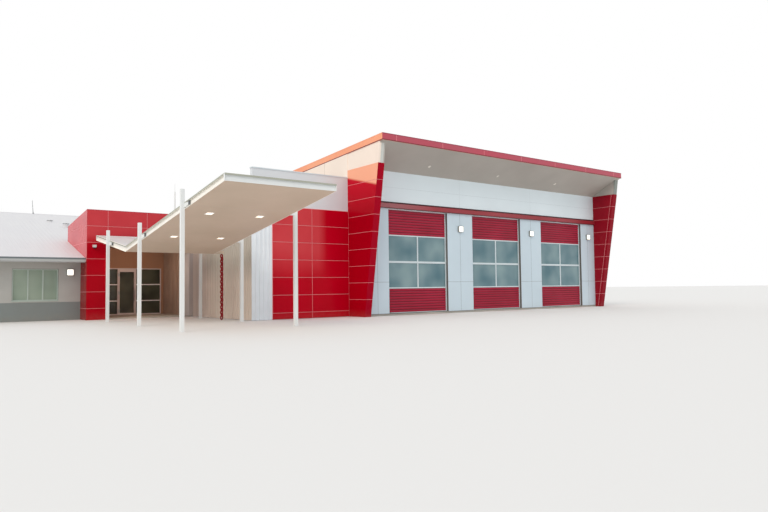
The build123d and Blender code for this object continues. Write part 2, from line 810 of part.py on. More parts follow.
def hinge_heights(low, top):
    """Lower ends of the door's own knuckles."""
    spacing = (top - low - 2 * hinge_end_gap) / (hinge_count - 1)
    return [low + hinge_end_gap + i * spacing - hinge_length / 2 for i in range(hinge_count)]


def round_face(plane, across, up, radius):
    """A disc on a plane."""
    with BuildSketch(plane) as disc:
        with Locations((across, up)):
            Circle(radius)
    return disc.sketch


def hinge_knuckle(x, z_low, z_high):
    """A barrel on the hinge line, just clear of the leaf's face."""
    y = screen_front_y - hinge_face_gap - hinge_radius
    extrude(round_face(Plane.XY.offset(z_low), x, y, hinge_radius), amount=z_high - z_low)


def door_handle(x, face_y, out):
    """An upright bar on two short posts, on one face of the leaf."""
    low = handle_z - handle_length / 2
    bar = round_face(Plane.XY.offset(low), x, face_y + out * handle_reach, handle_radius)
    extrude(bar, amount=handle_length)
    for z in (low + handle_post_inset, low + handle_length - handle_post_inset):
        post = round_face(Plane.XZ.offset(-face_y), x, z, handle_post_radius)
        extrude(post, amount=-out * handle_reach)


def entry_door_pieces():
    """The glazed leaf that swings out on three hinges at its left edge."""
    left, right = door_opening_left_x + leaf_gap, door_opening_right_x - leaf_gap
    low, top = floor_thickness + leaf_gap, door_opening_top_z - leaf_gap
    back = screen_front_y + leaf_thickness
    in_left, in_right = left + leaf_stile, right - leaf_stile
    in_low, in_top = low + leaf_rail, top - leaf_stile
    with BuildPart() as entry_door_leaf:
        block(left, right, screen_front_y, back, low, top)
        block(in_left, in_right, screen_front_y, back, in_low, in_top, mode=Mode.SUBTRACT)
    save(entry_door_leaf, "entry_door_leaf")
    glass_y = screen_front_y + (leaf_thickness - leaf_glass_thickness) / 2
    with BuildPart() as entry_door_glass:
        block(in_left, in_right, glass_y, glass_y + leaf_glass_thickness, in_low, in_top)
    save(entry_door_glass, "entry_door_glass")
    with BuildPart() as entry_door_fittings:
        for face_y, out in ((screen_front_y, -1), (back, 1)):
            door_handle(right - handle_inset, face_y, out)
        for z in hinge_heights(low, top):
            hinge_knuckle(left + hinge_radius, z, z + hinge_length)
            block(left + hinge_radius, left + leaf_stile, screen_front_y - hinge_flap,
                  screen_front_y, z, z + hinge_length)
    save(entry_door_fittings, "entry_door_fittings")
    frame_x = door_opening_left_x - hinge_frame_reach
    with BuildPart() as entry_frame_hinges:
        for z in hinge_heights(low, top):
            for z_low in (z - hinge_knuckle_gap - hinge_end_knuckle,
                          z + hinge_length + hinge_knuckle_gap):
                z_high = z_low + hinge_end_knuckle
                hinge_knuckle(left + hinge_radius, z_low, z_high)
                block(frame_x, left + hinge_radius, screen_front_y - hinge_flap,
                      screen_front_y - hinge_face_gap, z_low, z_high)
            block(frame_x, door_opening_left_x, screen_front_y - hinge_flap, screen_front_y,
                  z - hinge_knuckle_gap - hinge_end_knuckle,
                  z + hinge_length + hinge_knuckle_gap + hinge_end_knuckle)
    save(entry_frame_hinges, "entry_frame_hinges")


def camera_dome_piece():
    """A small housing on the leg's front face, with a many-sided dome under it."""
    x, y = entry_left_x + camera_inset, head_front_y - camera_radius
    with BuildPart() as camera_dome:
        with BuildSketch(Plane.XY.offset(camera_z)):
            with Locations((x, y)):
                RegularPolygon(camera_dome_radius, camera_dome_sides)
        extrude(amount=-camera_dome_radius)
        chamfer(camera_dome.faces().sort_by(Axis.Z)[0].edges(), length=camera_dome_slope)
        block(x - camera_radius, x + camera_radius, head_front_y - 2 * camera_radius,
              head_front_y, camera_z, camera_z + camera_base)
    save(camera_dome, "camera_dome")


def canopy_soffit(y):
    """Height of the canopy's underside: it falls to the valley from both ends."""
    if y < valley_y:
        share = (valley_y - y) / (valley_y - canopy_front_y)
        return valley_soffit_z + share * (canopy_front_soffit_z - valley_soffit_z)
    share = (y - valley_y) / (canopy_back_y - valley_y)
    return valley_soffit_z + share * (canopy_back_soffit_z - valley_soffit_z)


def canopy_band(y_low, y_high, low, high):
    """A strip that follows one canopy wing between two depths over its underside."""
    return [(y_low, canopy_soffit(y_low) + low), (y_high, canopy_soffit(y_high) + low),
            (y_high, canopy_soffit(y_high) + high), (y_low, canopy_soffit(y_low) + high)]


def canopy_line(low, high):
    """A strip along both wings between the end beams, bent at the valley."""
    ends = (canopy_front_y + beam_flange, valley_y, canopy_back_y - beam_flange)
    return ([(y, canopy_soffit(y) + low) for y in ends]
            + [(y, canopy_soffit(y) + high) for y in reversed(ends)])


def canopy_beam_pieces():
    """Channel beams round the canopy: bent side beams, and end beams closed by end plates."""
    web_left = canopy_left_x + beam_flange - beam_web
    web_right = canopy_right_x - beam_flange + beam_web
    with BuildPart() as canopy_side_beams:
        side_prism(canopy_line(0, beam_depth), canopy_left_x, canopy_left_x + beam_flange)
        side_prism(canopy_line(beam_web, beam_depth - beam_web), canopy_left_x, web_left,
                   mode=Mode.SUBTRACT)
        side_prism(canopy_line(0, beam_depth), canopy_right_x - beam_flange, canopy_right_x)
        side_prism(canopy_line(beam_web, beam_depth - beam_web), web_right, canopy_right_x,
                   mode=Mode.SUBTRACT)
    save(canopy_side_beams, "canopy_side_beams")
    with BuildPart() as canopy_end_beams:
        for y_out, inward, z in ((canopy_front_y, 1, canopy_front_soffit_z),
                                 (canopy_back_y, -1, canopy_back_soffit_z)):
            y_web, y_in = y_out + inward * (beam_flange - beam_web), y_out + inward * beam_flange
            top = z + beam_depth
            side_prism([(y_in, z), (y_out, z), (y_out, top), (y_in, top)],
                       canopy_left_x, canopy_right_x)
            side_prism([(y_web, z + beam_web), (y_out, z + beam_web), (y_out, top - beam_web),
                        (y_web, top - beam_web)], canopy_left_x + beam_web,
                       canopy_right_x - beam_web, mode=Mode.SUBTRACT)
    save(canopy_end_beams, "canopy_end_beams")


def downlight_places():
    """Centres of the canopy lights, two across and two along the front wing."""
    xs = (canopy_left_x + downlight_edge_gap, canopy_right_x - downlight_edge_gap)
    ys = [canopy_front_y + downlight_first_run + i * downlight_pitch for i in range(downlight_rows)]
    return [(x, y) for x in xs for y in ys]


def canopy_deck_pieces():
    """Lining boards and roof sheets of the two canopy wings."""
    in_left, in_right = canopy_left_x + beam_flange, canopy_right_x - beam_flange
    half = downlight_size / 2
    front_in, back_in = canopy_front_y + beam_flange, canopy_back_y - beam_flange
    with BuildPart() as canopy_front_lining:
        side_prism(canopy_band(front_in, valley_y, 0, canopy_lining_thickness), in_left, in_right)
        for x, y in downlight_places():
            side_prism(canopy_band(y - half, y + half, 0, canopy_lining_thickness),
                       x - half, x + half, mode=Mode.SUBTRACT)
    save(canopy_front_lining, "canopy_front_lining")
    with BuildPart() as canopy_back_lining:
        side_prism(canopy_band(valley_y, back_in, 0, canopy_lining_thickness), in_left, in_right)
    save(canopy_back_lining, "canopy_back_lining")
    sheet_top = beam_depth - beam_web
    sheet_low = sheet_top - canopy_sheet_thickness
    lap_in = gutter_half_width - gutter_lap
    with BuildPart() as canopy_roof:
        for y_low, y_high in ((front_in, valley_y - lap_in), (valley_y + lap_in, back_in)):
            side_prism(canopy_band(y_low, y_high, sheet_low, sheet_top), in_left, in_right)
    save(canopy_roof, "canopy_roof")


def canopy_downlights_piece():
    """Square lights let into the lining, each with a thin trim standing below it."""
    half = downlight_size / 2 - downlight_gap
    lens = half - downlight_trim
    with BuildPart() as canopy_downlights:
        for x, y in downlight_places():
            side_prism(canopy_band(y - half, y + half, -downlight_drop, downlight_depth),
                       x - half, x + half)
            side_prism(canopy_band(y - lens, y + lens, -downlight_drop, 0),
                       x - lens, x + lens, mode=Mode.SUBTRACT)
    save(canopy_downlights, "canopy_downlights")


def valley_gutter_piece():
    """A box gutter along the valley, with a spout out to the rain chain."""
    half, wall = gutter_half_width, gutter_sheet
    low = canopy_soffit(valley_y + half) + canopy_lining_thickness
    top = low + valley_gutter_height
    in_left, in_right = canopy_left_x + beam_flange, canopy_right_x - beam_flange
    with BuildPart() as valley_gutter:
        side_prism([(valley_y - half, low), (valley_y + half, low), (valley_y + half, top),
                    (valley_y + half - wall, top), (valley_y + half - wall, low + wall),
                    (valley_y - half + wall, low + wall), (valley_y - half + wall, top),
                    (valley_y - half, top)], in_left, in_right)
        block(canopy_right_x, canopy_right_x + chain_spout_reach + chain_cup_radius,
              valley_y - chain_cup_radius, valley_y + chain_cup_radius,
              valley_soffit_z + beam_web, valley_soffit_z + beam_web + spout_height)
    save(valley_gutter, "valley_gutter")


def canopy_post_pieces():
    """Six square posts: those at the left stand against their beam and are held by cleats,
    those at the right stand clear and are held by short arms."""
    half = post_size / 2
    right_x = canopy_right_x + post_right_gap
    left_web, right_web = (canopy_left_x + beam_flange - beam_web,
                           canopy_right_x - beam_flange + beam_web)
    post_ys = [front_y - post_first_reach + i * post_pitch for i in range(post_count)]
    with BuildPart() as canopy_posts:
        for y in post_ys:
            for x in (canopy_left_x - post_size, right_x):
                block(x, x + post_size, y - half, y + half,
                      0, canopy_soffit(y) + beam_depth + post_rise)
    save(canopy_posts, "canopy_posts")
    with BuildPart() as post_cleats:
        for y in post_ys:
            margin = (beam_depth - cleat_height) / 2
            low = canopy_soffit(y - half - cleat_length / 2) + margin
            block(canopy_left_x - cleat_thickness, left_web, y - half - cleat_length,
                  y - half, low, low + cleat_height)
            low = canopy_soffit(y) + margin
            block(right_web, right_x, y - half, y + half, low, low + cleat_height)
    save(post_cleats, "canopy_post_cleats")


def rain_chain_piece():
    """A chain of many-sided cups that hangs from the spout to the ground."""
    pitch = (valley_soffit_z + beam_web) / chain_cup_count
    with BuildPart() as rain_chain:
        for i in range(1, chain_cup_count + 1):
            with BuildSketch(Plane.XY.offset(i * pitch)):
                with Locations((canopy_right_x + chain_spout_reach, valley_y)):
                    RegularPolygon(chain_cup_radius, chain_cup_sides)
            extrude(amount=-pitch, taper=chain_cup_taper)
    save(rain_chain, "rain_chain")


hall_floor_piece()
front_piers_piece()
sign_band_piece()
door_hood_piece()
blades_piece()
blade_caps_piece()
hall_side_walls_piece()
hall_rear_wall_piece()
hall_roof_piece()
roof_fascia_piece()
front_lining_piece()
bay_door_pieces()
wall_lights_piece()
low_floor_piece()
low_wall_pieces()
parapet_coping_piece()
red_front_panels_piece()
ribbed_sheets_piece()
wing_wall_pieces()
window_pieces()
wing_roof_pieces()
roof_vents_piece()
entry_leg_piece()
entry_head_pieces()
entry_wall_pieces()
entry_screen_pieces()
entry_door_pieces()
camera_dome_piece()
canopy_beam_pieces()
canopy_deck_pieces()
canopy_downlights_piece()
valley_gutter_piece()
canopy_post_pieces()
rain_chain_piece()
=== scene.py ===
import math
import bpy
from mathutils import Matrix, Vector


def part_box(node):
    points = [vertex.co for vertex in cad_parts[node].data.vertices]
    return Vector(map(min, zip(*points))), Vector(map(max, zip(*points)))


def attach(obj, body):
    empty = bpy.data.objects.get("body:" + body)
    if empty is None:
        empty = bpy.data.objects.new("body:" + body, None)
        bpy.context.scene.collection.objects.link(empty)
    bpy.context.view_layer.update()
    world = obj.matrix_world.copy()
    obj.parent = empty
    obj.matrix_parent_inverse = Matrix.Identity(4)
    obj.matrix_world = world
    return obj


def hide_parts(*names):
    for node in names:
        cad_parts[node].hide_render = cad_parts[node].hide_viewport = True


bl_info = {
    "name": "Fire Station Finishes",
    "version": (1, 0, 0),
    "blender": (4, 5, 0),
    "location": "3D View > Sidebar > Fire Station",
    "description": "Dresses a fire station's walls, roofs, doors, canopy and entry",
    "category": "Object",
}

import bmesh
import bpy
import numpy as np
from bpy.props import FloatProperty, FloatVectorProperty, IntProperty, PointerProperty
from mathutils import Matrix, Vector

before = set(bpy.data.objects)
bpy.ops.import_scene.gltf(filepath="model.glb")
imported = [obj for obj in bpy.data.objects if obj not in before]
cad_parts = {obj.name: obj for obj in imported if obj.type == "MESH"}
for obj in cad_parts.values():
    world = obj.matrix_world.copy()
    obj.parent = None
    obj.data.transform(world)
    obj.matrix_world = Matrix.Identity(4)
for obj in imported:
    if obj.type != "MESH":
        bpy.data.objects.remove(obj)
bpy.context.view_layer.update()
BUILDING = "building"
DOOR = "entry_door"
MM = 0.001

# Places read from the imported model, in metres
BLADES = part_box("blades")
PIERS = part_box("front_piers")
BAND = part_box("sign_band_wall")
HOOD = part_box("door_hood")
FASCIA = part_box("roof_fascia")
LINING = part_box("front_lining")
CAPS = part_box("blade_caps")
SIDE_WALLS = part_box("hall_side_walls")
REAR_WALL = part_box("hall_rear_wall")
HALL_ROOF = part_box("hall_roof")
LOW_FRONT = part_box("low_front_wall")
LOW_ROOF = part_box("low_roof")
RED_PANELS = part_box("red_front_panels")
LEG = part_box("entry_leg")
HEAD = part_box("entry_head")
WING_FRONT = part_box("wing_front_wall")
WING_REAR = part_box("wing_rear_wall")
WING_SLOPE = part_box("wing_roof_front")
WING_BACK_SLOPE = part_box("wing_roof_rear")
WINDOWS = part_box("wing_window_frames")
DOOR_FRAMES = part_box("bay_door_frames")
DOOR_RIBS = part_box("bay_door_ribs")
DOOR_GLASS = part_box("bay_door_glass")
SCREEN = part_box("entry_screen_frame")
SCREEN_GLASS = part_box("entry_screen_glass")
LEAF_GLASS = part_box("entry_door_glass")
FRONT_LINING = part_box("canopy_front_lining")
SIDE_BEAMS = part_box("canopy_side_beams")
END_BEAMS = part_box("canopy_end_beams")
CANOPY_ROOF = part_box("canopy_roof")
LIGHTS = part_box("wall_lights")
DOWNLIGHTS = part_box("canopy_downlights")
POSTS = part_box("canopy_posts")
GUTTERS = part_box("wing_gutters")
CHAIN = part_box("rain_chain")
CAMERA_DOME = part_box("camera_dome")

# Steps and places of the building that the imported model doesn't give, in metres
BAY_PITCH = 5.29
BAYS = np.array([-1, 0, 1]) * BAY_PITCH
HALF_DOOR = 1.8
HALF_FACE = DOOR_RIBS[1].x - BAY_PITCH
PIER_EDGES = np.sort([*(BAYS - HALF_DOOR), *(BAYS + HALF_DOOR), PIERS[0].x, PIERS[1].x])
ROOF_FALL = 0.0607
FASCIA_DEPTH = 0.292
BLADE_FOOT_Y = PIERS[0].y - 0.333
BLADE_LEAN = (BLADES[0].y - BLADE_FOOT_Y) / BLADES[1].z
GROOVE = 0.008
HAIR = 0.0008
VALLEY_Y = FRONT_LINING[1].y
VALLEY_Z = SIDE_BEAMS[0].z
BEAM_DEPTH = 0.213
BEAM_FLANGE = 0.060
POST_YS = np.array([-11.70, -7.47, -3.24])
WINDOW_WIDTH = 1.784
WINDOW_PITCH = 4.300
TRANSOM_LEVELS = (0.751, 1.570)
PANE_LEVELS = ((0.100, 0.726), (0.776, 1.545), (1.595, 2.350))
PANE_SIDES = ((-17.020, -15.8105), (-14.8995, -13.690))


# Colour and node helpers

ALONG_X, ALONG_Y, ALONG_Z = (1.0, 0.0, 0.0), (0.0, 1.0, 0.0), (0.0, 0.0, 1.0)


def linear(code):
    """Turns an sRGB hex colour into linear RGBA: the sRGB curve undone channel by channel."""
    srgb = np.array([int(code[i:i + 2], 16) for i in (1, 3, 5)]) / 255
    rgb = np.where(srgb <= 0.04045, srgb / 12.92, ((srgb + 0.055) / 1.055) ** 2.4)
    return (*rgb.tolist(), 1.0)


def add_node(tree, kind, inputs=None, **settings):
    """Adds a node, sets its own settings, and fills or links its sockets. A hex code fills
    a colour socket."""
    node = tree.nodes.new(kind)
    for key, value in settings.items():
        setattr(node, key, value)
    for socket, value in (inputs or {}).items():
        if isinstance(value, bpy.types.NodeSocket):
            tree.links.new(value, node.inputs[socket])
        else:
            node.inputs[socket].default_value = linear(value) if isinstance(value, str) else value
    return node


def new_material(name):
    """An empty node material, its tree and the object's own coordinates."""
    material = bpy.data.materials.new(name)
    material.use_nodes = True
    material.node_tree.nodes.clear()
    tree = material.node_tree
    return tree, add_node(tree, "ShaderNodeTexCoord").outputs["Object"]


def drifting(tree, coords, size_mm, low, high, detail=3.0):
    """A number that drifts between two values in soft blotches of a size: noise whose
    middle part is stretched to the whole range."""
    noise = add_node(tree, "ShaderNodeTexNoise", {
        "Vector": coords, "Scale": 1 / (size_mm * MM), "Detail": detail})
    return add_node(tree, "ShaderNodeMapRange", {
        "Value": noise.outputs["Fac"], "From Min": 0.3, "From Max": 0.7,
        "To Min": low, "To Max": high}).outputs["Result"]


def blotched(tree, coords, first, second, size_mm, most=1.0, detail=3.0):
    """A colour that drifts to another in soft blotches, no further than the most."""
    share = drifting(tree, coords, size_mm, 0.0, most, detail)
    return add_node(tree, "ShaderNodeMix", {"Factor": share, 6: first, 7: second},
                    data_type="RGBA").outputs[2]


def share_beyond(tree, coords, way, low, high, at_low, at_high):
    """A number that goes evenly from one value to another between two places along a
    direction, and stays as it is outside them."""
    place = add_node(tree, "ShaderNodeVectorMath", {0: coords, 1: way},
                     operation="DOT_PRODUCT").outputs["Value"]
    return add_node(tree, "ShaderNodeMapRange", {
        "Value": place, "From Min": low, "From Max": high, "To Min": at_low,
        "To Max": at_high}).outputs["Result"]


def beyond(tree, coords, way, low, high, first, second, most=1.0):
    """One colour before a place along a direction and another past it."""
    share = share_beyond(tree, coords, way, low, high, 0.0, most)
    return add_node(tree, "ShaderNodeMix", {"Factor": share, 6: first, 7: second},
                    data_type="RGBA").outputs[2]


def faced(tree, coords, way, place, face, rest):
    """One colour on the face at a place along a direction, and another on all that lies
    more than a few millimetres behind it."""
    return beyond(tree, coords, way, place + 0.004, place + 0.010, face, rest)


def foot_dust(tree, coords, colour, dust, height_mm, most):
    """Dust splashed on the lowest part of a wall: thinner as it rises, and broken up."""
    fade = share_beyond(tree, coords, ALONG_Z, 0.0, height_mm * MM, most, 0.0)
    broken = drifting(tree, coords, 160, 0.3, 1.0)
    share = add_node(tree, "ShaderNodeMath", {0: fade, 1: broken}, operation="MULTIPLY")
    return add_node(tree, "ShaderNodeMix", {"Factor": share.outputs[0], 6: colour, 7: dust},
                    data_type="RGBA").outputs[2]


def surfaced(tree, coords, colour, roughness, specular=0.5, grain=None, more=None):
    """Closes a material. Roughness is a number, or a size in mm and the two values that it
    drifts between. The grain is the size in mm and detail of a relief that bends the
    light, with its strength and its depth in mm."""
    if isinstance(roughness, tuple):
        roughness = drifting(tree, coords, *roughness)
    settings = {"Base Color": colour, "Roughness": roughness, "Specular IOR Level": specular}
    if grain is not None:
        size_mm, detail, strength, deep_mm = grain
        bump = add_node(tree, "ShaderNodeBump", {
            "Height": drifting(tree, coords, size_mm, 0.0, 1.0, detail),
            "Strength": strength, "Distance": deep_mm * MM})
        settings["Normal"] = bump.outputs["Normal"]
    shader = add_node(tree, "ShaderNodeBsdfPrincipled", settings | (more or {}))
    add_node(tree, "ShaderNodeOutputMaterial", {"Surface": shader.outputs["BSDF"]})


# Finishes

PANEL_DUST = "#A89E92"
GLOSS_SPECULAR = 0.06


def clouded(name, light, deep, size_mm, roughness, specular, grain, most=1.0, detail=3.0,
            more=None):
    """A finish whose colour clouds softly into another, with its roughness and grain."""
    tree, coords = new_material(name)
    colour = blotched(tree, coords, light, deep, size_mm, most, detail)
    surfaced(tree, coords, colour, roughness, specular, grain, more)


def panelled(tree, coords, colour, roughness, specular, dust_mm):
    """Closes a composite panel's material: a little dust at its foot, and the sheet's
    faint waviness, which bends what it reflects."""
    colour = foot_dust(tree, coords, colour, PANEL_DUST, dust_mm, 0.1)
    surfaced(tree, coords, colour, (700, *roughness), specular, (480, 1.0, 0.35, 0.5))


def composite_panel(name, light, deep, roughness=0.4):
    """Aluminium composite panel with a baked coating: satin, flat colour that shifts
    softly from sheet to sheet."""
    tree, coords = new_material(name)
    colour = blotched(tree, coords, light, deep, 2600)
    panelled(tree, coords, colour, (roughness * 0.8, roughness * 1.25), 0.4, 450)


def blade_panel():
    """The leaning blades' red composite panels, deep and glossy, with painted light and shade:
    a painted highlight that brightens them towards the top, a painted salmon glow of light on
    the left blade's outer side above a line that drops to the street, painted shade that darkens
    the front edge, and painted shade that dulls the right blade."""
    tree, coords = new_material("red_blade_panel")
    deep = blotched(tree, coords, "#AE0018", "#A40016", 2600)
    # Painted highlight: the red brightens towards the top.
    bright = beyond(tree, coords, ALONG_Z, 4.4, 6.0, deep, "#D0142E", 0.8)
    # Painted light: a salmon glow on the left blade's outer face above a sloping line.
    glow = beyond(tree, coords, (0.0, -0.252, 1.0), 7.90, 8.00, bright, "#FCB392")
    colour = faced(tree, coords, ALONG_X, BLADES[0].x, glow, bright)
    # Painted shade: darker red on the leaning front edge.
    colour = faced(tree, coords, (0.0, 1.0, -BLADE_LEAN), BLADE_FOOT_Y, "#A80020", colour)
    # Painted shade: the right blade is duller.
    colour = beyond(tree, coords, ALONG_X, 8.0, 8.1, colour, "#8C1424", 0.9)
    panelled(tree, coords, colour, (0.16, 0.26), GLOSS_SPECULAR, 350)


def red_panel_painted_light():
    """The entry's red composite panels, deep and glossy where the canopy shelters them, paler
    above it in a painted highlight; on the left side, painted shade below the canopy's height and
    the palest red above it in painted light."""
    tree, coords = new_material("red_panel_painted_light")
    deep = blotched(tree, coords, "#BC041C", "#B00018", 1500)
    # Painted highlight: the paler red on the front above the canopy's height.
    painted_front_highlight = blotched(tree, coords, "#D4484E", "#C83E45", 1500)
    # Painted light: the palest red, on the left side above the canopy's height.
    painted_side_light = blotched(tree, coords, "#DC7276", "#D0666C", 1500)
    front = beyond(tree, coords, ALONG_Z, 3.30, 3.75, deep, painted_front_highlight)
    # Painted shade: dark red on the left side below the canopy's height.
    side = beyond(tree, coords, ALONG_Z, 2.55, 2.75, "#8E1E20", painted_side_light)
    colour = faced(tree, coords, ALONG_X, HEAD[0].x, side, front)
    panelled(tree, coords, colour, (0.18, 0.3), GLOSS_SPECULAR, 400)


def sheltered_red_panel():
    """Red composite panels beside the hall: deep red, paler at the upper left in a painted
    highlight where the gloss is brightest, with soft limits."""
    tree, coords = new_material("red_front_panel")
    deep = blotched(tree, coords, "#C2001F", "#B8001B", 1500)
    # Painted highlight: the paler red at the upper left.
    pale = blotched(tree, coords, "#D2464C", "#CA3C43", 1500)
    upper = beyond(tree, coords, ALONG_Z, 1.6, 2.9, deep, pale)
    colour = beyond(tree, coords, ALONG_X, -10.25, -9.85, upper, deep)
    panelled(tree, coords, colour, (0.16, 0.26), GLOSS_SPECULAR, 350)


def fascia_board(name, light, deep):
    """Roof fascia of folded steel, baked red: the street board a cool crimson, the raking side
    boards coral in painted warm light."""
    tree, coords = new_material(name)
    front = blotched(tree, coords, light, deep, 2600)
    # Painted light: the warm coral of the raking side boards.
    side = blotched(tree, coords, "#FBAA80", "#F69C72", 2600)
    colour = faced(tree, coords, ALONG_Y, FASCIA[0].y, front, side)
    surfaced(tree, coords, colour, (900, 0.3, 0.42), 0.45, (600, 1.0, 0.3, 0.5))


def hood_steel():
    """Folded red steel hood over the doors: brick red, paler towards its left end in a painted
    highlight.
    """
    tree, coords = new_material("red_hood_steel")
    colour = blotched(tree, coords, "#96222C", "#A43842", 2400)
    # Painted highlight: paler towards the left end.
    colour = beyond(tree, coords, ALONG_X, -6.7, -4.4, "#A25C61", colour)
    surfaced(tree, coords, colour, (500, 0.28, 0.4), 0.45, (300, 1.0, 0.3, 0.4))


def ribbed_wall_sheet():
    """Pre-painted ribbed steel: white on the street front; elsewhere painted light and shade:
    beige in painted warm light under the canopy, duller in painted shade where its soffit shades
    the top and towards the porch, then grey and brown painted shade into the porch."""
    tree, coords = new_material("ribbed_wall_sheet")
    white = blotched(tree, coords, "#EFF5F9", "#E6ECF0", 900)
    # Painted warm light: beige on the sheets under the canopy.
    warm = blotched(tree, coords, "#EFE0D1", "#E4D5C6", 1300)
    # Painted shade: brown deep in the porch.
    brown = blotched(tree, coords, "#9A816F", "#8C7565", 900)
    street, porch = LOW_FRONT[0].y, HEAD[0].y
    # Painted shade under the soffit and towards the porch, grey at the porch's mouth.
    shaded = beyond(tree, coords, ALONG_Z, 1.5, 2.5, warm, "#BAB2A6")
    under = beyond(tree, coords, ALONG_Y, -2.9, -1.4, shaded, "#C0B3A9", 0.9)
    grey = beyond(tree, coords, ALONG_Y, porch + 0.3, porch + 1.6, "#BEBAB8", brown)
    colour = beyond(tree, coords, ALONG_Y, street + 0.001, street + 0.004, white, under)
    colour = beyond(tree, coords, ALONG_Y, porch, porch + 0.02, colour, grey)
    surfaced(tree, coords, colour, 0.42, 0.4, (60, 2.0, 0.08, 0.4))


def rendered_wall(name, upper, lower, split):
    """Acrylic render trowelled on block: a fine sandy grain, two paint colours that meet
    at a level line, and weathering near its foot."""
    tree, coords = new_material(name)
    colour = beyond(tree, coords, ALONG_Z, split - 0.004, split + 0.004, lower, upper)
    colour = blotched(tree, coords, colour, "#8A8278", 900, 0.16)
    colour = foot_dust(tree, coords, colour, "#A79C8C", 350, 0.3)
    surfaced(tree, coords, colour, 0.85, 0.25, (9, 2.0, 0.5, 1.2))


def floated_concrete():
    """Concrete floated by machine: cool grey with cloudy cement bloom and fine pits."""
    clouded("floated_concrete", "#9C9890", "#B4B0A7", 1400, 0.8, 0.3, (14, 4.0, 0.4, 1.0),
            detail=5.0)


def float_glass(name, tint, pale, size_mm, clear, most=0.8):
    """Tinted float glass: part see-through, mostly a mirror, with painted reflections as broad
    soft patches in its colour, and slightly wavy."""
    # Painted reflections: the pale patches in the glass's colour.
    clouded(name, tint, pale, size_mm, 0.06, 0.5, (900, 1.0, 0.25, 1.5), most, 1.5,
            {"IOR": 1.52, "Transmission Weight": clear})


def powder_coat(name, light, deep, roughness=0.38, specular=0.4):
    """Powder coat baked on metal: even, satin, with a faint orange peel, drawn at 25 mm
    because the real 1 mm grain is far below a pixel."""
    clouded(name, light, deep, 1200, roughness, specular, (25, 1.0, 0.08, 0.3))


def two_part_coat(name, lower, upper, height):
    """Powder coat in two colours that meet at a level line."""
    tree, coords = new_material(name)
    colour = beyond(tree, coords, ALONG_Z, height - 0.002, height + 0.002, lower, upper)
    surfaced(tree, coords, colour, (300, 0.3, 0.42), 0.4, (40, 1.0, 0.08, 0.3))


def lining_board(name, light, deep):
    """Fibre-cement lining, sanded and painted matt, with a soft roller stipple."""
    clouded(name, light, deep, 1800, 0.6, 0.3, (18, 2.0, 0.15, 0.5))


def roof_steel(name, light, deep):
    """Pre-painted steel roof sheet: pale, matt, with faint chalking that runs downhill."""
    tree, coords = new_material(name)
    run = add_node(tree, "ShaderNodeMapping", {
        "Vector": coords, "Scale": (1.0, 0.12, 1.0)}).outputs["Vector"]
    colour = blotched(tree, run, light, deep, 420, 1.0, 4.0)
    surfaced(tree, run, colour, 0.55, 0.35, (420, 2.0, 0.1, 0.6))


def brushed_steel():
    """Stainless steel brushed along its length: bright, with a lengthwise streak."""
    tree, coords = new_material("brushed_stainless_steel")
    stretched = add_node(tree, "ShaderNodeMapping", {
        "Vector": coords, "Scale": (1.0, 1.0, 0.04)}).outputs["Vector"]
    colour = blotched(tree, stretched, "#A8A8A6", "#C9C9C6", 3, 1.0, 2.0)
    surfaced(tree, stretched, colour, 0.3, 0.5, (3, 2.0, 0.1, 0.1), {"Metallic": 1.0})


def galvanised_steel():
    """Hot-dip galvanised steel: dull grey metal with a soft spangle, drawn at 40 mm."""
    clouded("galvanised_steel", "#8E9294", "#A9ACAD", 40, (40, 0.38, 0.55), 0.5,
            (40, 1.0, 0.1, 0.2), detail=1.0, more={"Metallic": 0.8})


def glowing_lens(name, colour, strength):
    """Opal acrylic diffuser lit from behind: a warm white glow, a little uneven."""
    tree, coords = new_material(name)
    tint = blotched(tree, coords, colour, "#FFFBF2", 150, 1.0, 1.0)
    surfaced(tree, coords, tint, 0.4,
             more={"Emission Color": tint, "Emission Strength": strength})


def joint_sealant(name, colour, dirt="#8C7F78"):
    """Silicone joint sealant: matt, slightly sunken and a little dusty."""
    clouded(name, colour, dirt, 240, 0.7, 0.3, (30, 3.0, 0.2, 0.4), 0.2)


def dark_rubber():
    """Moulded rubber seal: near black, with a dull sheen and fine dust."""
    clouded("black_rubber_seal", "#1B1B1C", "#5A554E", 90, 0.62, 0.4, (12, 3.0, 0.2, 0.3), 0.25)


# Mesh helpers

BOX_QUADS = np.array([(1, 3, 2, 0), (6, 7, 5, 4), (4, 5, 1, 0),
                      (3, 7, 6, 2), (2, 6, 4, 0), (5, 7, 3, 1)])


def about(middle, half):
    """The low and high limit of a span, from its middle and half its length."""
    return middle - half, middle + half


def boxes(*limits):
    """Upright boxes. Each argument holds the spans along X, Y and Z, of numbers or of
    arrays that match. A corner takes its low or high limit on each axis from the three
    binary digits of its number."""
    spans = np.concatenate([
        np.stack(np.broadcast_arrays(*[limit for span in row for limit in span]),
                 axis=-1).reshape(-1, 1, 3, 2) for row in limits])
    digit = np.array([[i >> 2 & 1, i >> 1 & 1, i & 1] for i in range(8)])
    corners = np.where(digit, spans[..., 1], spans[..., 0])
    faces = BOX_QUADS + 8 * np.arange(len(spans))[:, None, None]
    return corners.reshape(-1, 3), faces.reshape(-1, 4)


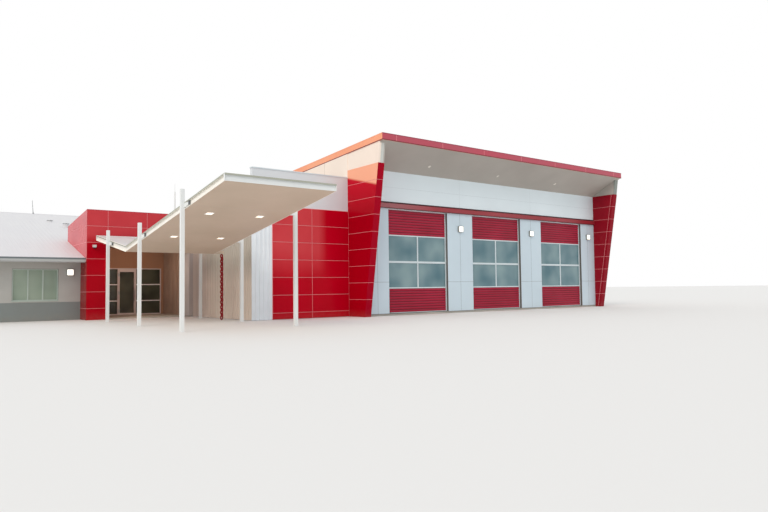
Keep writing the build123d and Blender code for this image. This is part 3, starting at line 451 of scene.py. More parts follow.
def ribs(starts, ends, across, rise, foot, crest, height):
    """Trapezoid bars along a roof or wall: four points of the section, foot wide below
    and crest wide at the height, carried from each start to its end."""
    starts, ends = (np.asarray(p, float).reshape(-1, 1, 3) for p in (starts, ends))
    across, rise = np.asarray(across, float), np.asarray(rise, float)
    side = np.array([-foot, -crest, crest, foot]) / 2
    up = np.array([0.0, height, height, 0.0])
    section = side[:, None] * across + up[:, None] * rise
    points = np.concatenate([starts + section, ends + section], axis=1)
    quads = np.array([(0, 1, 5, 4), (1, 2, 6, 5), (2, 3, 7, 6), (3, 0, 4, 7),
                      (0, 3, 2, 1), (4, 5, 6, 7)])
    if np.dot(np.cross((ends - starts)[0, 0], across), rise) < 0:
        quads = quads[:, ::-1]
    faces = quads + 8 * np.arange(len(starts))[:, None, None]
    return points.reshape(-1, 3), faces.reshape(-1, 4)


def bars(starts, ends, across, rise, width, height):
    """Flat bars from start to end, as wide across as the width and up to the height."""
    return ribs(starts, ends, across, rise, width, width, height)


def wedge(corners, x_low, x_high):
    """A flat four-cornered plate in Y and Z, carried from one X to another."""
    corners = np.asarray(corners, float)
    points = np.concatenate([np.insert(corners, 0, x, axis=1) for x in (x_low, x_high)])
    (y_0, z_0), (y_1, z_1), (y_2, z_2) = corners[:3]
    turn = (y_1 - y_0) * (z_2 - z_1) - (z_1 - z_0) * (y_2 - y_1)
    quads = np.array([(3, 2, 1, 0), (4, 5, 6, 7), (0, 1, 5, 4),
                      (1, 2, 6, 5), (2, 3, 7, 6), (3, 0, 4, 7)])
    return points, quads if turn > 0 else quads[:, ::-1]


def grid_faces(steps, rows, columns, copies):
    """Faces of a grid whose columns close into a ring: four neighbouring points at each
    step from a row to the next, counted on for each copy of the grid."""
    row, column = np.meshgrid(np.arange(steps), np.arange(columns), indexing="ij")
    under, after = (row + 1) % rows * columns, (column + 1) % columns
    row = row * columns
    quads = np.stack([row + column, row + after, under + after, under + column], axis=-1)
    copy = rows * columns * np.arange(copies)[:, None, None]
    return (quads.reshape(1, -1, 4) + copy).reshape(-1, 4)


def turned(profile, centres, segments, frame_axes=np.eye(3), power=2.0):
    """Turned shapes: each profile point (radius, height) goes round an axis in equal
    steps. Its path is |a|^power + |b|^power = 1, a circle at power 2 and nearly a square
    at a high power. The frame gives the directions of a, b and the height."""
    profile = np.asarray(profile, float)
    centres = np.asarray(centres, float).reshape(-1, 3)
    angle = np.linspace(0, 2 * math.pi, segments, endpoint=False)
    a, b = (np.sign(f(angle)) * np.abs(f(angle)) ** (2 / power) for f in (np.cos, np.sin))
    local = np.stack([np.outer(profile[:, 0], a), np.outer(profile[:, 0], b),
                      np.repeat(profile[:, 1:], segments, axis=1)], axis=-1)
    points = (local @ np.asarray(frame_axes, float))[None] + centres[:, None, None]
    count = len(profile)
    return points.reshape(-1, 3), grid_faces(count - 1, count, segments, len(centres))


def link_rings(centres, half_height, half_width, wire, turns):
    """Chain links: a round wire follows an oval, (width cos t, height sin t), and each
    link is turned about the upright axis by its own angle."""
    along, section = 24, 8
    t = np.linspace(0, 2 * math.pi, along, endpoint=False)[:, None]
    s = np.linspace(0, 2 * math.pi, section, endpoint=False)[None]
    out = np.stack([half_height * np.cos(t), half_width * np.sin(t)])
    out = out / np.linalg.norm(out, axis=0)
    flat_x = half_width * np.cos(t) + wire * np.cos(s) * out[0]
    flat_z = half_height * np.sin(t) + wire * np.cos(s) * out[1]
    flat_y = wire * np.sin(s) + 0 * t
    turns = turns[:, None, None]
    points = np.stack([flat_x * np.cos(turns) - flat_y * np.sin(turns),
                       flat_x * np.sin(turns) + flat_y * np.cos(turns),
                       flat_z + 0 * turns], axis=-1) + centres[:, None, None]
    faces = grid_faces(along, along, section, len(turns))
    return points.reshape(-1, 3), faces[:, [0, 3, 2, 1]]


def joined(*parts):
    """Several meshes as one pair of arrays, each one's faces counted on from the last."""
    starts = np.cumsum([0] + [len(points) for points, _ in parts])
    return (np.concatenate([points for points, _ in parts]),
            np.concatenate([faces + start for (_, faces), start in zip(parts, starts)]))


def add_piece(name, mesh_arrays, material, body=BUILDING, merged=False):
    """Puts the arrays into a mesh object at the origin, which rides on its body. A turned
    shape has the points at its poles merged into one."""
    points, faces = mesh_arrays
    mesh = bpy.data.meshes.new(name)
    mesh.from_pydata(points.tolist(), [], faces.tolist())
    if merged:
        shape = bmesh.new()
        shape.from_mesh(mesh)
        bmesh.ops.remove_doubles(shape, verts=shape.verts, dist=1e-6)
        bmesh.ops.recalc_face_normals(shape, faces=shape.faces)
        shape.to_mesh(mesh)
        shape.free()
    mesh.validate()
    mesh.update()
    piece = bpy.data.objects.new(name, mesh)
    bpy.context.scene.collection.objects.link(piece)
    mesh.materials.append(bpy.data.materials[material])
    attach(piece, body)
    return piece


# Sizes and colours that a user may change

def length(label, description, default, least=0.0):
    """A property for a length in metres."""
    return FloatProperty(name=label, description=description, default=default, min=least,
                         unit="LENGTH")


class StationSizes(bpy.types.PropertyGroup):
    """Sizes of the station's joints, ribs and trims"""

    blade_module: length(
        "Blade panel height", "Height of one blade panel with its joint", 0.723, 0.3)
    blade_lift: length(
        "Blade joint lift", "How far the blades' joints lie over the modules", 0.030)
    front_module: length(
        "Front panel height", "Height of one front panel with its joint", 0.732, 0.3)
    joint_width: length(
        "Joint width", "Width of the sealed joints between red panels", 0.013, 0.004)
    joint_sink: length(
        "Joint sink", "How far the sealant lies below the panel's face", 0.003)
    wall_joint: length(
        "Wall joint", "Width of the grey joints between pale wall panels", 0.014, 0.002)
    roof_rib_pitch: length(
        "Roof rib pitch", "Distance between the ribs of the roof sheets", 0.190, 0.05)
    roof_rib_height: length(
        "Roof rib height", "Height of the ribs of the flat roofs' sheets", 0.024, 0.005)
    wing_rib_height: length(
        "Wing rib height", "Height of the ribs of the wing's roof sheets", 0.004, 0.003)
    wall_sheet_width: length(
        "Wall sheet width", "Width of the hall's wall sheets between joints", 2.9, 0.5)
    camera_height: length(
        "Camera height", "Height of the camera over the floor", 1.235, 0.1)
    lamp_power: FloatProperty(
        name="Key lamp", description="Strength of the soft key lamp", default=1.1, min=0.0)
    even_power: FloatProperty(
        name="Even light", description="Strength of the even light all round",
        default=0.92, min=0.0)
    fill_power: FloatProperty(
        name="Porch lamp", description="Strength of the warm lamp that lights the porch",
        default=45.0, min=0.0)
    chain_links: IntProperty(
        name="Chain links", description="Number of links in the rain chain",
        default=25, min=3)


class StationColours(bpy.types.PropertyGroup):
    """Colours of the studio round the station"""

    floor: FloatVectorProperty(
        name="Floor", description="Colour of the studio floor", subtype="COLOR",
        size=4, default=linear("#E9E8E5"), min=0.0, max=1.0)
    backdrop: FloatVectorProperty(
        name="Backdrop", description="Colour behind the building", subtype="COLOR",
        size=4, default=(1.0, 1.0, 1.0, 1.0), min=0.0, max=1.0)


def sizes():
    return bpy.context.scene.station_sizes


def colours():
    return bpy.context.scene.station_colours


# Stage

class STATION_OT_stage(bpy.types.Operator):
    """Pale floor, soft studio light and the camera"""

    bl_idname = "station.stage"
    bl_label = "Stage"

    def execute(self, context):
        scene = context.scene
        scene.view_settings.view_transform = "Standard"
        add_camera(scene)
        add_floor()
        add_world(scene)
        add_lamps(scene)
        return {"FINISHED"}


def add_floor():
    """A wide flat sheet just under the building's feet."""
    half, drop = 400.0, 0.002
    mesh = bpy.data.meshes.new("studio_floor")
    mesh.from_pydata([(-half, -half, -drop), (half, -half, -drop),
                      (half, half, -drop), (-half, half, -drop)], [], [(0, 1, 2, 3)])
    floor = bpy.data.objects.new("studio_floor", mesh)
    bpy.context.scene.collection.objects.link(floor)
    surfaced(*new_material("pale_studio_floor"), tuple(colours().floor), 0.9, 0.1)
    mesh.materials.append(bpy.data.materials["pale_studio_floor"])


def add_world(scene):
    """Even light from all round, with a plain backdrop for what the camera sees,
    also in mirrors and through glass."""
    world = bpy.data.worlds.new("studio_world")
    world.use_nodes = True
    tree = world.node_tree
    tree.nodes.clear()
    path = add_node(tree, "ShaderNodeLightPath").outputs
    seen = path["Is Camera Ray"]
    for ray in ("Is Glossy Ray", "Is Transmission Ray"):
        seen = add_node(tree, "ShaderNodeMath", {0: seen, 1: path[ray]},
                        operation="MAXIMUM").outputs[0]
    light = add_node(tree, "ShaderNodeBackground", {
        "Color": "#F2F6FB", "Strength": sizes().even_power})
    shown = add_node(tree, "ShaderNodeBackground", {
        "Color": tuple(colours().backdrop), "Strength": 1.0})
    both = add_node(tree, "ShaderNodeMixShader", {
        "Fac": seen, 1: light.outputs[0], 2: shown.outputs[0]})
    add_node(tree, "ShaderNodeOutputWorld", {"Surface": both.outputs[0]})
    scene.world = world


def add_lamp(scene, kind, name, power, colour, turn):
    """A lamp of a kind, with its hex colour and its turn in degrees."""
    lamp = bpy.data.lights.new(name, kind)
    lamp.energy, lamp.color = power, linear(colour)[:3]
    holder = bpy.data.objects.new(name, lamp)
    holder.rotation_euler = [math.radians(angle) for angle in turn]
    scene.collection.objects.link(holder)
    return lamp, holder


def add_lamps(scene):
    """A broad warm key from the left of the front, soft enough to leave no hard edge,
    and a warm fill under the canopy that lights the porch."""
    key, _ = add_lamp(scene, "SUN", "key_lamp", sizes().lamp_power, "#FFF1E2", (52, 0, -62))
    key.angle = math.radians(35)
    fill, holder = add_lamp(
        scene, "AREA", "porch_lamp", sizes().fill_power, "#FFE6CC", (80, 0, 0))
    fill.shape, fill.size, fill.size_y = "RECTANGLE", 2.4, 0.8
    holder.location = (-15.7, HEAD[0].y - 0.2, 2.5)
    holder.visible_camera = holder.visible_glossy = False


def add_camera(scene):
    """The photograph's view: heading, tilt and roll of a level-held wide lens."""
    heading, tilt, roll = (math.radians(a) for a in (37.346, 2.861, -0.7095))
    forward = Vector((math.sin(heading) * math.cos(tilt),
                      math.cos(heading) * math.cos(tilt), math.sin(tilt)))
    level = Vector((math.cos(heading), -math.sin(heading), 0.0))
    over = level.cross(forward)
    right = level * math.cos(roll) + over * math.sin(roll)
    up = right.cross(forward)
    lens = bpy.data.cameras.new("photo_view")
    lens.lens, lens.sensor_width, lens.clip_end = 30.1, 36.0, 1500.0
    camera = bpy.data.objects.new("photo_view", lens)
    place = Vector((-24.722, -30.749, sizes().camera_height))
    turn = Matrix((right, up, -forward)).transposed()
    camera.matrix_world = Matrix.Translation(place) @ turn.to_4x4()
    scene.collection.objects.link(camera)
    scene.camera = camera


# Finishes on the building's own pieces

SINGLE_FINISHES = (blade_panel, red_panel_painted_light, sheltered_red_panel, hood_steel,
                   ribbed_wall_sheet, floated_concrete, brushed_steel, galvanised_steel,
                   dark_rubber)
FINISHES = {
    fascia_board: [("red_fascia_board", "#BE4255", "#B24A5A"),
                   ("red_fascia_capping", "#A03A4E", "#963246")],
    composite_panel: [("pale_front_panel", "#D0E0E9", "#C9D9E2"),
                      # The band over the doors is the piers' pale panel painted lighter: painted
                      # light against the shade of the roof's overhang.
                      ("pale_band_painted_lighter", "#EBF6FA", "#E3EEF2"),
                      ("grey_cap_panel", "#D0D2CC", "#C8CAC4"),
                      ("shaded_cap_panel", "#8F958E", "#878D86"),
                      ("pale_band_panel", "#DDE2E5", "#D3D8DB"),
                      ("cream_side_panel", "#FAEBDC", "#F4E4D6", 0.5)],
    powder_coat: [("red_door_skin", "#B2163A", "#A01030", 0.4, 0.25),
                  # Painted shade: a dark red for the doors' grooves and the hood's shadow lines.
                  ("painted_dark_red_shade", "#360A12", "#2C080E", 0.5),
                  # Painted highlight: a pale red for the ribs' upper edges.
                  ("painted_red_highlight", "#BA445A", "#AE3A50", 0.35),
                  ("dark_red_edge", "#7C2530", "#6E1F2A", 0.4),
                  ("crimson_capping", "#C04A5C", "#B44252", 0.35),
                  ("white_powder_coat", "#EEF0EE", "#E6E9E8"),
                  ("pale_frame_coat", "#DDE8EB", "#D3DEE2"),
                  ("sunlit_beam_coat", "#FFFCF4", "#FDF8EE"),
                  # Painted shade: grey-green for the top of the canopy beams' faces.
                  ("painted_beam_shade_coat", "#B0B2A4", "#A6A89A"),
                  # The wall lights' housings are grey: painted shade for their shaded sides.
                  ("housing_grey_painted_shade", "#9EA19E", "#949794"),
                  ("dark_bracket_coat", "#707376", "#64676A"),
                  ("red_chain_coat", "#A01420", "#7E0E16", 0.42, 0.2),
                  ("green_window_coat", "#C3CFC4", "#B6C3B9"),
                  ("taupe_screen_coat", "#D8CCCB", "#CEC2C1"),
                  ("pale_transom_coat", "#F6F8FA", "#F0F2F4"),
                  ("shadow_grey_coat", "#6A6763", "#5E5B58", 0.6)],
    # The gutter is darker in its top 75 mm.
    two_part_coat: [("gutter_coat", "#B4B7B5", "#6E7679", GUTTERS[1].z - 0.075),
                    ("camera_housing", "#202024", "#E0E2E2", CAMERA_DOME[1].z - 0.115)],
    lining_board: [("grey_hall_lining", "#BAB4AC", "#B0AAA2"),
                   ("beige_canopy_lining", "#D6C1AE", "#CCB8A4"),
                   ("porch_lining", "#B39F8C", "#A99582")],
    rendered_wall: [("two_tone_render", "#C1C0BA", "#8B9290", 0.80),
                    ("brown_entry_render", "#A87F66", "#A07A62", 0.0),
                    ("grey_porch_render", "#C0B6B2", "#B8AEAA", 0.0)],
    roof_steel: [("pale_roof_sheet", "#DCDCDD", "#D9D9DB"),
                 ("grey_roof_sheet", "#D6D3D1", "#CDCAC8")],
    float_glass: [("grey_door_glass", "#4E7884", "#98B2B4", 1300, 0.12),
                  ("clear_entry_glass", "#41453C", "#767A68", 900, 0.25, 0.6),
                  ("green_window_glass", "#8FA38F", "#B4C3AE", 1100, 0.15)],
    joint_sealant: [("pink_joint_sealant", "#F7A6A8", "#C07878"),
                    ("grey_joint_sealant", "#8E989C", "#7A8084"),
                    ("cream_joint_sealant", "#BDB0A4"),
                    ("pale_joint_sealant", "#C6D0D5", "#A8B0B4")],
    glowing_lens: [("wall_light_lens", "#FFF8E6", 1.05),
                   ("warm_downlight_lens", "#FFE6C4", 1.15),
                   ("faint_downlight_lens", "#B4AEA4", 0.01)],
}
NODE_FINISHES = {
    "red_blade_panel": ["blades"],
    "red_front_panel": ["red_front_panels"],
    "red_panel_painted_light": ["entry_leg", "entry_head"],
    "red_hood_steel": ["door_hood"],
    "red_fascia_board": ["roof_fascia"],
    "pale_front_panel": ["front_piers"],
    "pale_band_painted_lighter": ["sign_band_wall"],
    "pale_band_panel": ["low_front_wall", "low_side_wall", "low_upper_wall", "low_rear_wall"],
    "cream_side_panel": ["hall_side_walls", "hall_rear_wall", "blade_caps"],
    "ribbed_wall_sheet": ["ribbed_sheets"],
    "red_door_skin": ["bay_door_ribs"],
    "pale_frame_coat": ["bay_door_frames", "parapet_coping"],
    "sunlit_beam_coat": ["canopy_side_beams"],
    "white_powder_coat": ["canopy_end_beams", "canopy_posts", "canopy_post_cleats"],
    "red_chain_coat": ["rain_chain"],
    "housing_grey_painted_shade": ["wall_lights"],
    "pale_transom_coat": ["canopy_downlights"],
    "camera_housing": ["camera_dome"],
    "green_window_coat": ["wing_window_frames"],
    "taupe_screen_coat": ["entry_screen_frame", "entry_door_leaf"],
    "grey_hall_lining": ["front_lining"],
    "beige_canopy_lining": ["canopy_front_lining", "canopy_back_lining", "valley_gutter"],
    "porch_lining": ["porch_ceiling"],
    "two_tone_render": ["wing_front_wall", "wing_rear_wall", "wing_end_walls"],
    "brown_entry_render": ["entry_side_walls", "entry_wall_over"],
    "grey_porch_render": ["porch_side_wall"],
    "pale_roof_sheet": ["wing_roof_front", "wing_roof_rear", "wing_ridge_cap", "roof_vents"],
    "grey_roof_sheet": ["hall_roof", "low_roof", "entry_head_roof", "canopy_roof"],
    "gutter_coat": ["wing_gutters"],
    "grey_door_glass": ["bay_door_glass"],
    "clear_entry_glass": ["entry_screen_glass", "entry_door_glass"],
    "green_window_glass": ["wing_window_glass"],
    "floated_concrete": ["hall_floor", "low_floor"],
    "brushed_stainless_steel": ["entry_door_fittings", "entry_frame_hinges"],
}


class STATION_OT_finishes(bpy.types.Operator):
    """Makes every finish and puts it on the building's own pieces"""

    bl_idname = "station.finishes"
    bl_label = "Finishes"

    def execute(self, context):
        for make in SINGLE_FINISHES:
            make()
        for make, variants in FINISHES.items():
            for variant in variants:
                make(*variant)
        for material, nodes in NODE_FINISHES.items():
            for node in nodes:
                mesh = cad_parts[node].data
                mesh.materials.clear()
                mesh.materials.append(bpy.data.materials[material])
        return {"FINISHED"}


# Joints of the red panels

class STATION_OT_panel_joints(bpy.types.Operator):
    """Pale sealant in the joints of the red panels, blades and entry block"""

    bl_idname = "station.panel_joints"
    bl_label = "Panel joints"

    def execute(self, context):
        for name, arrays in (("blade_joint_sealant", blade_joints()),
                             ("blade_slant_sealant", blade_slant_joints()),
                             ("front_panel_sealant", front_panel_joints()),
                             ("entry_joint_sealant", entry_joints())):
            add_piece(name, arrays, "pink_joint_sealant")
        return {"FINISHED"}


def blade_nose(z):
    """Y of a blade's leaning front edge, a straight line from its foot to its top."""
    return BLADE_FOOT_Y + BLADE_LEAN * z


def blade_joints():
    """Level strips in the grooves: on both sides of each blade and across its front."""
    s = sizes()
    z = s.blade_module * np.arange(1, round(BLADES[1].z / s.blade_module)) + s.blade_lift
    level, nose, sink = about(z, s.joint_width / 2), blade_nose(z), s.joint_sink
    inner, outer, thick = PIERS[1].x + sink, BLADES[1].x - sink, GROOVE - sink
    along, limits = (nose + GROOVE, BLADES[1].y), []
    for low, high in ((inner, outer), (-outer, -inner)):
        limits += [((low, high), (nose + sink, nose + GROOVE), level),
                   ((low, low + thick), along, level), ((high - thick, high), along, level)]
    return boxes(*limits)


def blade_slant_joints():
    """A leaning strip on each blade's inner face, parallel to its front edge."""
    setback, width, proud = 0.155, 0.014, 0.0015
    foot, top = ((blade_nose(z) + setback, z) for z in (PIERS[0].z, BLADES[1].z))
    return joined(*[bars([(x, *foot)], [(x, *top)], ALONG_Y, (-np.sign(x), 0, 0), width, proud)
                    for x in (PIERS[0].x, PIERS[1].x)])


def front_panel_joints():
    """Strips between the flush red panels beside the hall, sunk a little."""
    s, edge, deeper = sizes(), 0.010, 0.0005
    face, back, half = RED_PANELS[0].y + s.joint_sink, RED_PANELS[1].y, s.joint_width / 2
    top, left, right = RED_PANELS[1].z + edge, RED_PANELS[0].x - edge, BLADES[0].x
    x = np.array([left, (left + right) / 2, right - half])
    return boxes(
        ((left, right), (face, back), about(top - s.front_module * np.arange(7), half)),
        (about(x, half), (face + deeper, back), (RED_PANELS[0].z, top + half)))


def entry_joints():
    """Strips in the entry block's grooves, front and left side, and at the seam between
    the head and the leg, which has no groove and stands a hair proud."""
    s, head_panel, roof_y, seam_proud, under_edge = sizes(), 1.704, 2.04, 0.001, 0.004
    half, sink, top = s.joint_width / 2, s.joint_sink, HEAD[1].z
    front, left = HEAD[0].y, HEAD[0].x
    limits = []
    for row, back in enumerate([HEAD[1].y, roof_y] + [WING_FRONT[0].y] * 4, 1):
        level = about(top - row * s.blade_module, half)
        right = HEAD[1].x if row == 1 else LEG[1].x
        proud, depth = (seam_proud, 0.0) if row == 2 else (-sink, GROOVE)
        limits += [((left, right), (front - proud, front + depth), level),
                   ((left - proud, left + depth), (front, back), level)]
    uprights = about(LEG[1].x + np.array([0.0, head_panel]), half)
    return boxes(*limits, (uprights, (front + sink, front + GROOVE),
                           (LEG[1].z, top - under_edge)))


# Joints of the pale walls

class STATION_OT_wall_joints(bpy.types.Operator):
    """Fine joints of the piers, the band and the hall's walls, painted shadow lines of the hood,
    and foot seals
    """

    bl_idname = "station.wall_joints"
    bl_label = "Wall joints"

    def execute(self, context):
        add_piece("pier_joints", pier_joints(), "grey_joint_sealant")
        add_piece("band_joints", band_joints(), "pale_joint_sealant")
        add_piece("hall_wall_joints", hall_wall_joints(), "cream_joint_sealant")
        # Painted shadow along the hood.
        add_piece("hood_shadow_lines", painted_hood_shadows(), "painted_dark_red_shade")
        add_piece("pier_foot_seals", pier_foot_seals(), "black_rubber_seal")
        return {"FINISHED"}


def pier_joints():
    """Upright joints at the middle of each pier, and level ones across the piers, a hair
    proud of the panels."""
    half, y, level = sizes().wall_joint / 2, PIERS[0].y, 1.50
    left, right = PIER_EDGES[::2], PIER_EDGES[1::2]
    return boxes((about((left + right) / 2, half), (y - HAIR, y), (PIERS[0].z, PIERS[1].z)),
                 ((left, right), (y - HAIR, y), about(level, half)))


def band_joints():
    """Fine joints of the band over the doors: one level, and two upright."""
    half, y, level = sizes().wall_joint / 4, PIERS[0].y, 5.785
    foot, top = HOOD[1].z + 0.05, BLADES[1].z
    return boxes((about(np.array([-0.5, 0.5]) * BAY_PITCH, half), (y - HAIR, y), (foot, top)),
                 ((PIERS[0].x, PIERS[1].x), (y - HAIR, y), about(level, half)))


def roof_under(y):
    """Height of the hall roof's underside, which falls evenly towards the rear."""
    return FASCIA[1].z - FASCIA_DEPTH - ROOF_FALL * (y - FASCIA[0].y)


def hall_wall_joints():
    """Upright joints between the wall sheets: on both sides, from the low roof up at the
    left, and on the rear wall."""
    s, first_y, last_margin, thin, rear_foot = sizes(), -5.207, 0.5, 0.001, 0.09
    half, rear_y = s.wall_joint / 2, REAR_WALL[1].y
    y = np.arange(first_y, SIDE_WALLS[1].y - last_margin, s.wall_sheet_width)
    x = np.arange(-2.5, 3.0) * s.wall_sheet_width
    return boxes(
        (about(SIDE_WALLS[0].x, thin), about(y, half), (LOW_ROOF[1].z, roof_under(y))),
        (about(SIDE_WALLS[1].x, thin), about(y, half), (0.0, roof_under(y))),
        (about(x, half), about(rear_y, thin), (rear_foot, roof_under(rear_y))))


def painted_hood_shadows():
    """Dark lines of painted shadow along the hood: where its flashing tucks behind the band, and
    at its drip.
    """
    (low, high), y, tuck, drip = HOOD, PIERS[0].y, 0.046, 0.024
    return boxes(((low.x, high.x), (y - 0.014, y), (high.z, high.z + tuck)),
                 ((low.x, high.x), (low.y - 0.002, low.y + 0.010), (low.z - 0.002, low.z + drip)))


def pier_foot_seals():
    """Thin dark sealant where the piers and the doors meet the slab."""
    y, z, door_y, gap = PIERS[0].y, PIERS[0].z, DOOR_FRAMES[0].y, 0.006
    return boxes(((PIER_EDGES[::2], PIER_EDGES[1::2]), (y - 0.004, y), (z, z + 0.014)),
                 (about(BAYS, HALF_DOOR - gap), (door_y - 0.012, door_y), (z, z + 0.022)))


# Fascia, caps and lining of the hall

class STATION_OT_roof_edge(bpy.types.Operator):
    """Cappings and drip edges of the fascia, the caps' panels and the lining's lights"""

    bl_idname = "station.roof_edge"
    bl_label = "Roof edge"

    def execute(self, context):
        add_piece("fascia_capping", fascia_strip(FASCIA_DEPTH - 0.026, 0.030, 0.005),
                  "red_fascia_capping")
        add_piece("fascia_drip_edge", fascia_strip(-0.004, 0.034, 0.006),
                  "dark_red_edge")
        add_piece("fascia_joints", fascia_joints(), "pink_joint_sealant")
        add_piece("cap_lining_sheets", cap_lining_sheets(), "grey_hall_lining")
        for name, x_low, x_high, material, slot in (
                ("cap_inner_panel", -8.435, -8.376, "grey_hall_lining", "grey_lining"),
                ("cap_nose_panel", -8.578, -8.437, "grey_cap_panel", "pale_panel"),
                ("cap_edge_panel", CAPS[0].x, -8.582, "cream_side_panel", "cream_panel"),
                ("right_cap_nose_panel", 8.376, CAPS[1].x, "shaded_cap_panel", "pale_panel")):
            add_piece(name, cap_nose(x_low, x_high), material)
        trims, lenses = lining_lights()
        add_piece("lining_light_trims", trims, "grey_hall_lining", merged=True)
        add_piece("lining_light_lenses", lenses, "faint_downlight_lens", merged=True)
        return {"FINISHED"}


def fascia_strip(over, height, proud):
    """A folded strip right round the fascia: level at the ends, raking along the sides,
    its foot a height over the fascia's underside."""
    (low, high), lap = FASCIA, 0.001
    front_z, rear_z = (roof_under(y) + over for y in (low.y, high.y))
    across, sides = (low.x - proud, high.x + proud), (low.x - proud / 2, high.x + proud / 2)
    level = boxes((across, (low.y - proud, low.y + lap), (front_z, front_z + height)),
                  (across, (high.y - lap, high.y + proud), (rear_z, rear_z + height)))
    raking = bars([(x, low.y, front_z) for x in sides], [(x, high.y, rear_z) for x in sides],
                  ALONG_X, ALONG_Z, proud, height)
    return joined(level, raking)


def fascia_joints():
    """Joints of the street board, one at each half bay."""
    x = np.arange(-3, 4) * BAY_PITCH / 2
    y, z = FASCIA[0].y, FASCIA[1].z
    return boxes((about(x, 0.007), (y - 0.0015, y), (z - FASCIA_DEPTH + 0.032, z - 0.028)))


def cap_lining_sheets():
    """Lining on the caps' inner faces, below the sloping lining of the roof edge. The
    corners are places in Y and Z."""
    inner, thick = BAND[1].x, 0.004
    corners = [(-9.412, 6.508), (-8.006, 6.508), (-8.02, 6.516), (-9.437, 7.281)]
    return joined(wedge(corners, inner - thick, inner), wedge(corners, -inner, thick - inner))


def cap_nose(x_low, x_high):
    """A folded panel on a cap's nose, which leans out to the fascia as it rises."""
    height, fold, setback, reach = 0.898, 0.004, 0.030, 0.095
    foot, top, y = CAPS[1].z - height, CAPS[1].z - fold, CAPS[0].y
    return wedge([(y + setback - fold, foot), (y + setback, foot), (y, top),
                  (y - reach, top)], x_low, x_high)


def lining_lights():
    """Round lights let into the sloping lining: a low ring, and a lens inside it."""
    down_slope = 1.25
    start = np.array([0.0, LINING[0].y, LINING[1].z])
    run = np.array([0.0, PIERS[0].y, BLADES[1].z]) - start
    run /= np.linalg.norm(run)
    out = np.cross(ALONG_X, run)
    out *= np.sign(-out[2])
    axes = np.array([ALONG_X, np.cross(out, ALONG_X), out])
    x = np.array([-5.10, -0.50, 4.05])
    centres = x[:, None] * ALONG_X + start + down_slope * run
    ring = [(0.080, 0.0), (0.110, 0.0), (0.110, 0.004), (0.100, 0.008), (0.084, 0.008),
            (0.080, 0.004), (0.080, 0.0)]
    lens = [(0.0, 0.0), (0.079, 0.0), (0.079, 0.003), (0.060, 0.005), (0.0, 0.006)]
    return turned(ring, centres, 24, axes), turned(lens, centres, 24, axes)


# Bay doors

class STATION_OT_bay_doors(bpy.types.Operator):
    """Rails, painted shade in the grooves and the reveals, and painted highlights on the ribs of
    the three bay doors
    """

    bl_idname = "station.bay_doors"
    bl_label = "Bay doors"

    def execute(self, context):
        add_piece("door_middle_rails", door_middle_rails(), "pale_frame_coat")
        # Painted shade at the bottom of the grooves.
        add_piece("door_groove_shade_lines", door_strips((0.86, 0.99), (0.019, 0.023)),
                  "painted_dark_red_shade")
        # Painted highlights on the ribs' upper edges.
        add_piece("door_rib_highlights", door_strips((0.74, 0.84), (-0.001, 0.001)),
                  "painted_red_highlight")
        # Painted shade in the doors' reveals.
        add_piece("painted_reveal_shade", painted_reveal_shade(), "shadow_grey_coat")
        add_piece("door_head_skirts", door_head_skirts(), "red_door_skin")
        return {"FINISHED"}


def door_middle_rails():
    """A deeper rail over the joint between the two rows of glass, with a weather lip."""
    x, y, z = about(BAYS, HALF_FACE), DOOR_FRAMES[0].y, 2.415
    return boxes((x, (y - 0.008, y + 0.012), about(z, 0.046)),
                 (x, (y - 0.016, y - 0.007), about(z, 0.006)))


def door_strips(shares, depths):
    """Level strips on the doors' sections, one to each of their nine ribs: dark ones of painted
    shade at the bottom of the grooves, and pale ones of painted highlight on the ribs' upper
    edges. The shares give the strip's height within the rib's pitch, the depths how far it lies
    behind the face."""
    count, glass_trim, limits = 9, 0.05, []
    depth = [DOOR_RIBS[0].y + value for value in depths]
    for low, high in ((DOOR_RIBS[0].z, DOOR_GLASS[0].z - glass_trim),
                      (DOOR_GLASS[1].z + glass_trim, DOOR_RIBS[1].z)):
        pitch = (high - low) / count
        foot = low + pitch * np.arange(count)[:, None]
        limits.append((about(BAYS, HALF_FACE - MM), depth,
                       [foot + share * pitch for share in shares]))
    return boxes(*limits)


def door_head_skirts():
    """Red skirts that hide the lower part of the doors' head rails."""
    y, z = DOOR_FRAMES[0].y, DOOR_RIBS[1].z
    return boxes((about(BAYS, HALF_FACE), (y - 0.004, y + 0.001), (z - 0.002, z + 0.024)))


def painted_reveal_shade():
    """Dark strips on the side faces of each opening: painted shade in the reveals."""
    depth, height = (PIERS[0].y + 0.002, DOOR_FRAMES[0].y - 0.004), (PIERS[0].z, PIERS[1].z)
    (left, right), thick = about(BAYS, HALF_DOOR), 0.003
    return boxes(((left, left + thick), depth, height), ((right - thick, right), depth, height))


# Wall lights

class STATION_OT_wall_lights(bpy.types.Operator):
    """Glowing lenses of the square wall lights"""

    bl_idname = "station.wall_lights"
    bl_label = "Wall lights"

    def execute(self, context):
        add_piece("wall_light_lenses", wall_lenses(), "wall_light_lens", merged=True)
        return {"FINISHED"}


def wall_lenses():
    """Pillow lenses with round corners on the front of the four housings."""
    half, depth, low, high = 0.150, 0.090, LIGHTS[0], LIGHTS[1]
    centres = [(-BAY_PITCH / 2, low.y, high.z - half), (BAY_PITCH / 2, low.y, high.z - half),
               (high.x - half, low.y, high.z - half),
               (low.x + half, WING_FRONT[0].y - depth, low.z + half)]
    profile = [(0.0, 0.0), (0.130, 0.0), (0.130, 0.006), (0.124, 0.010), (0.105, 0.013),
               (0.0, 0.014)]
    return turned(profile, centres, 32, [(1, 0, 0), (0, 0, 1), (0, -1, 0)], power=7.0)


# Roofs

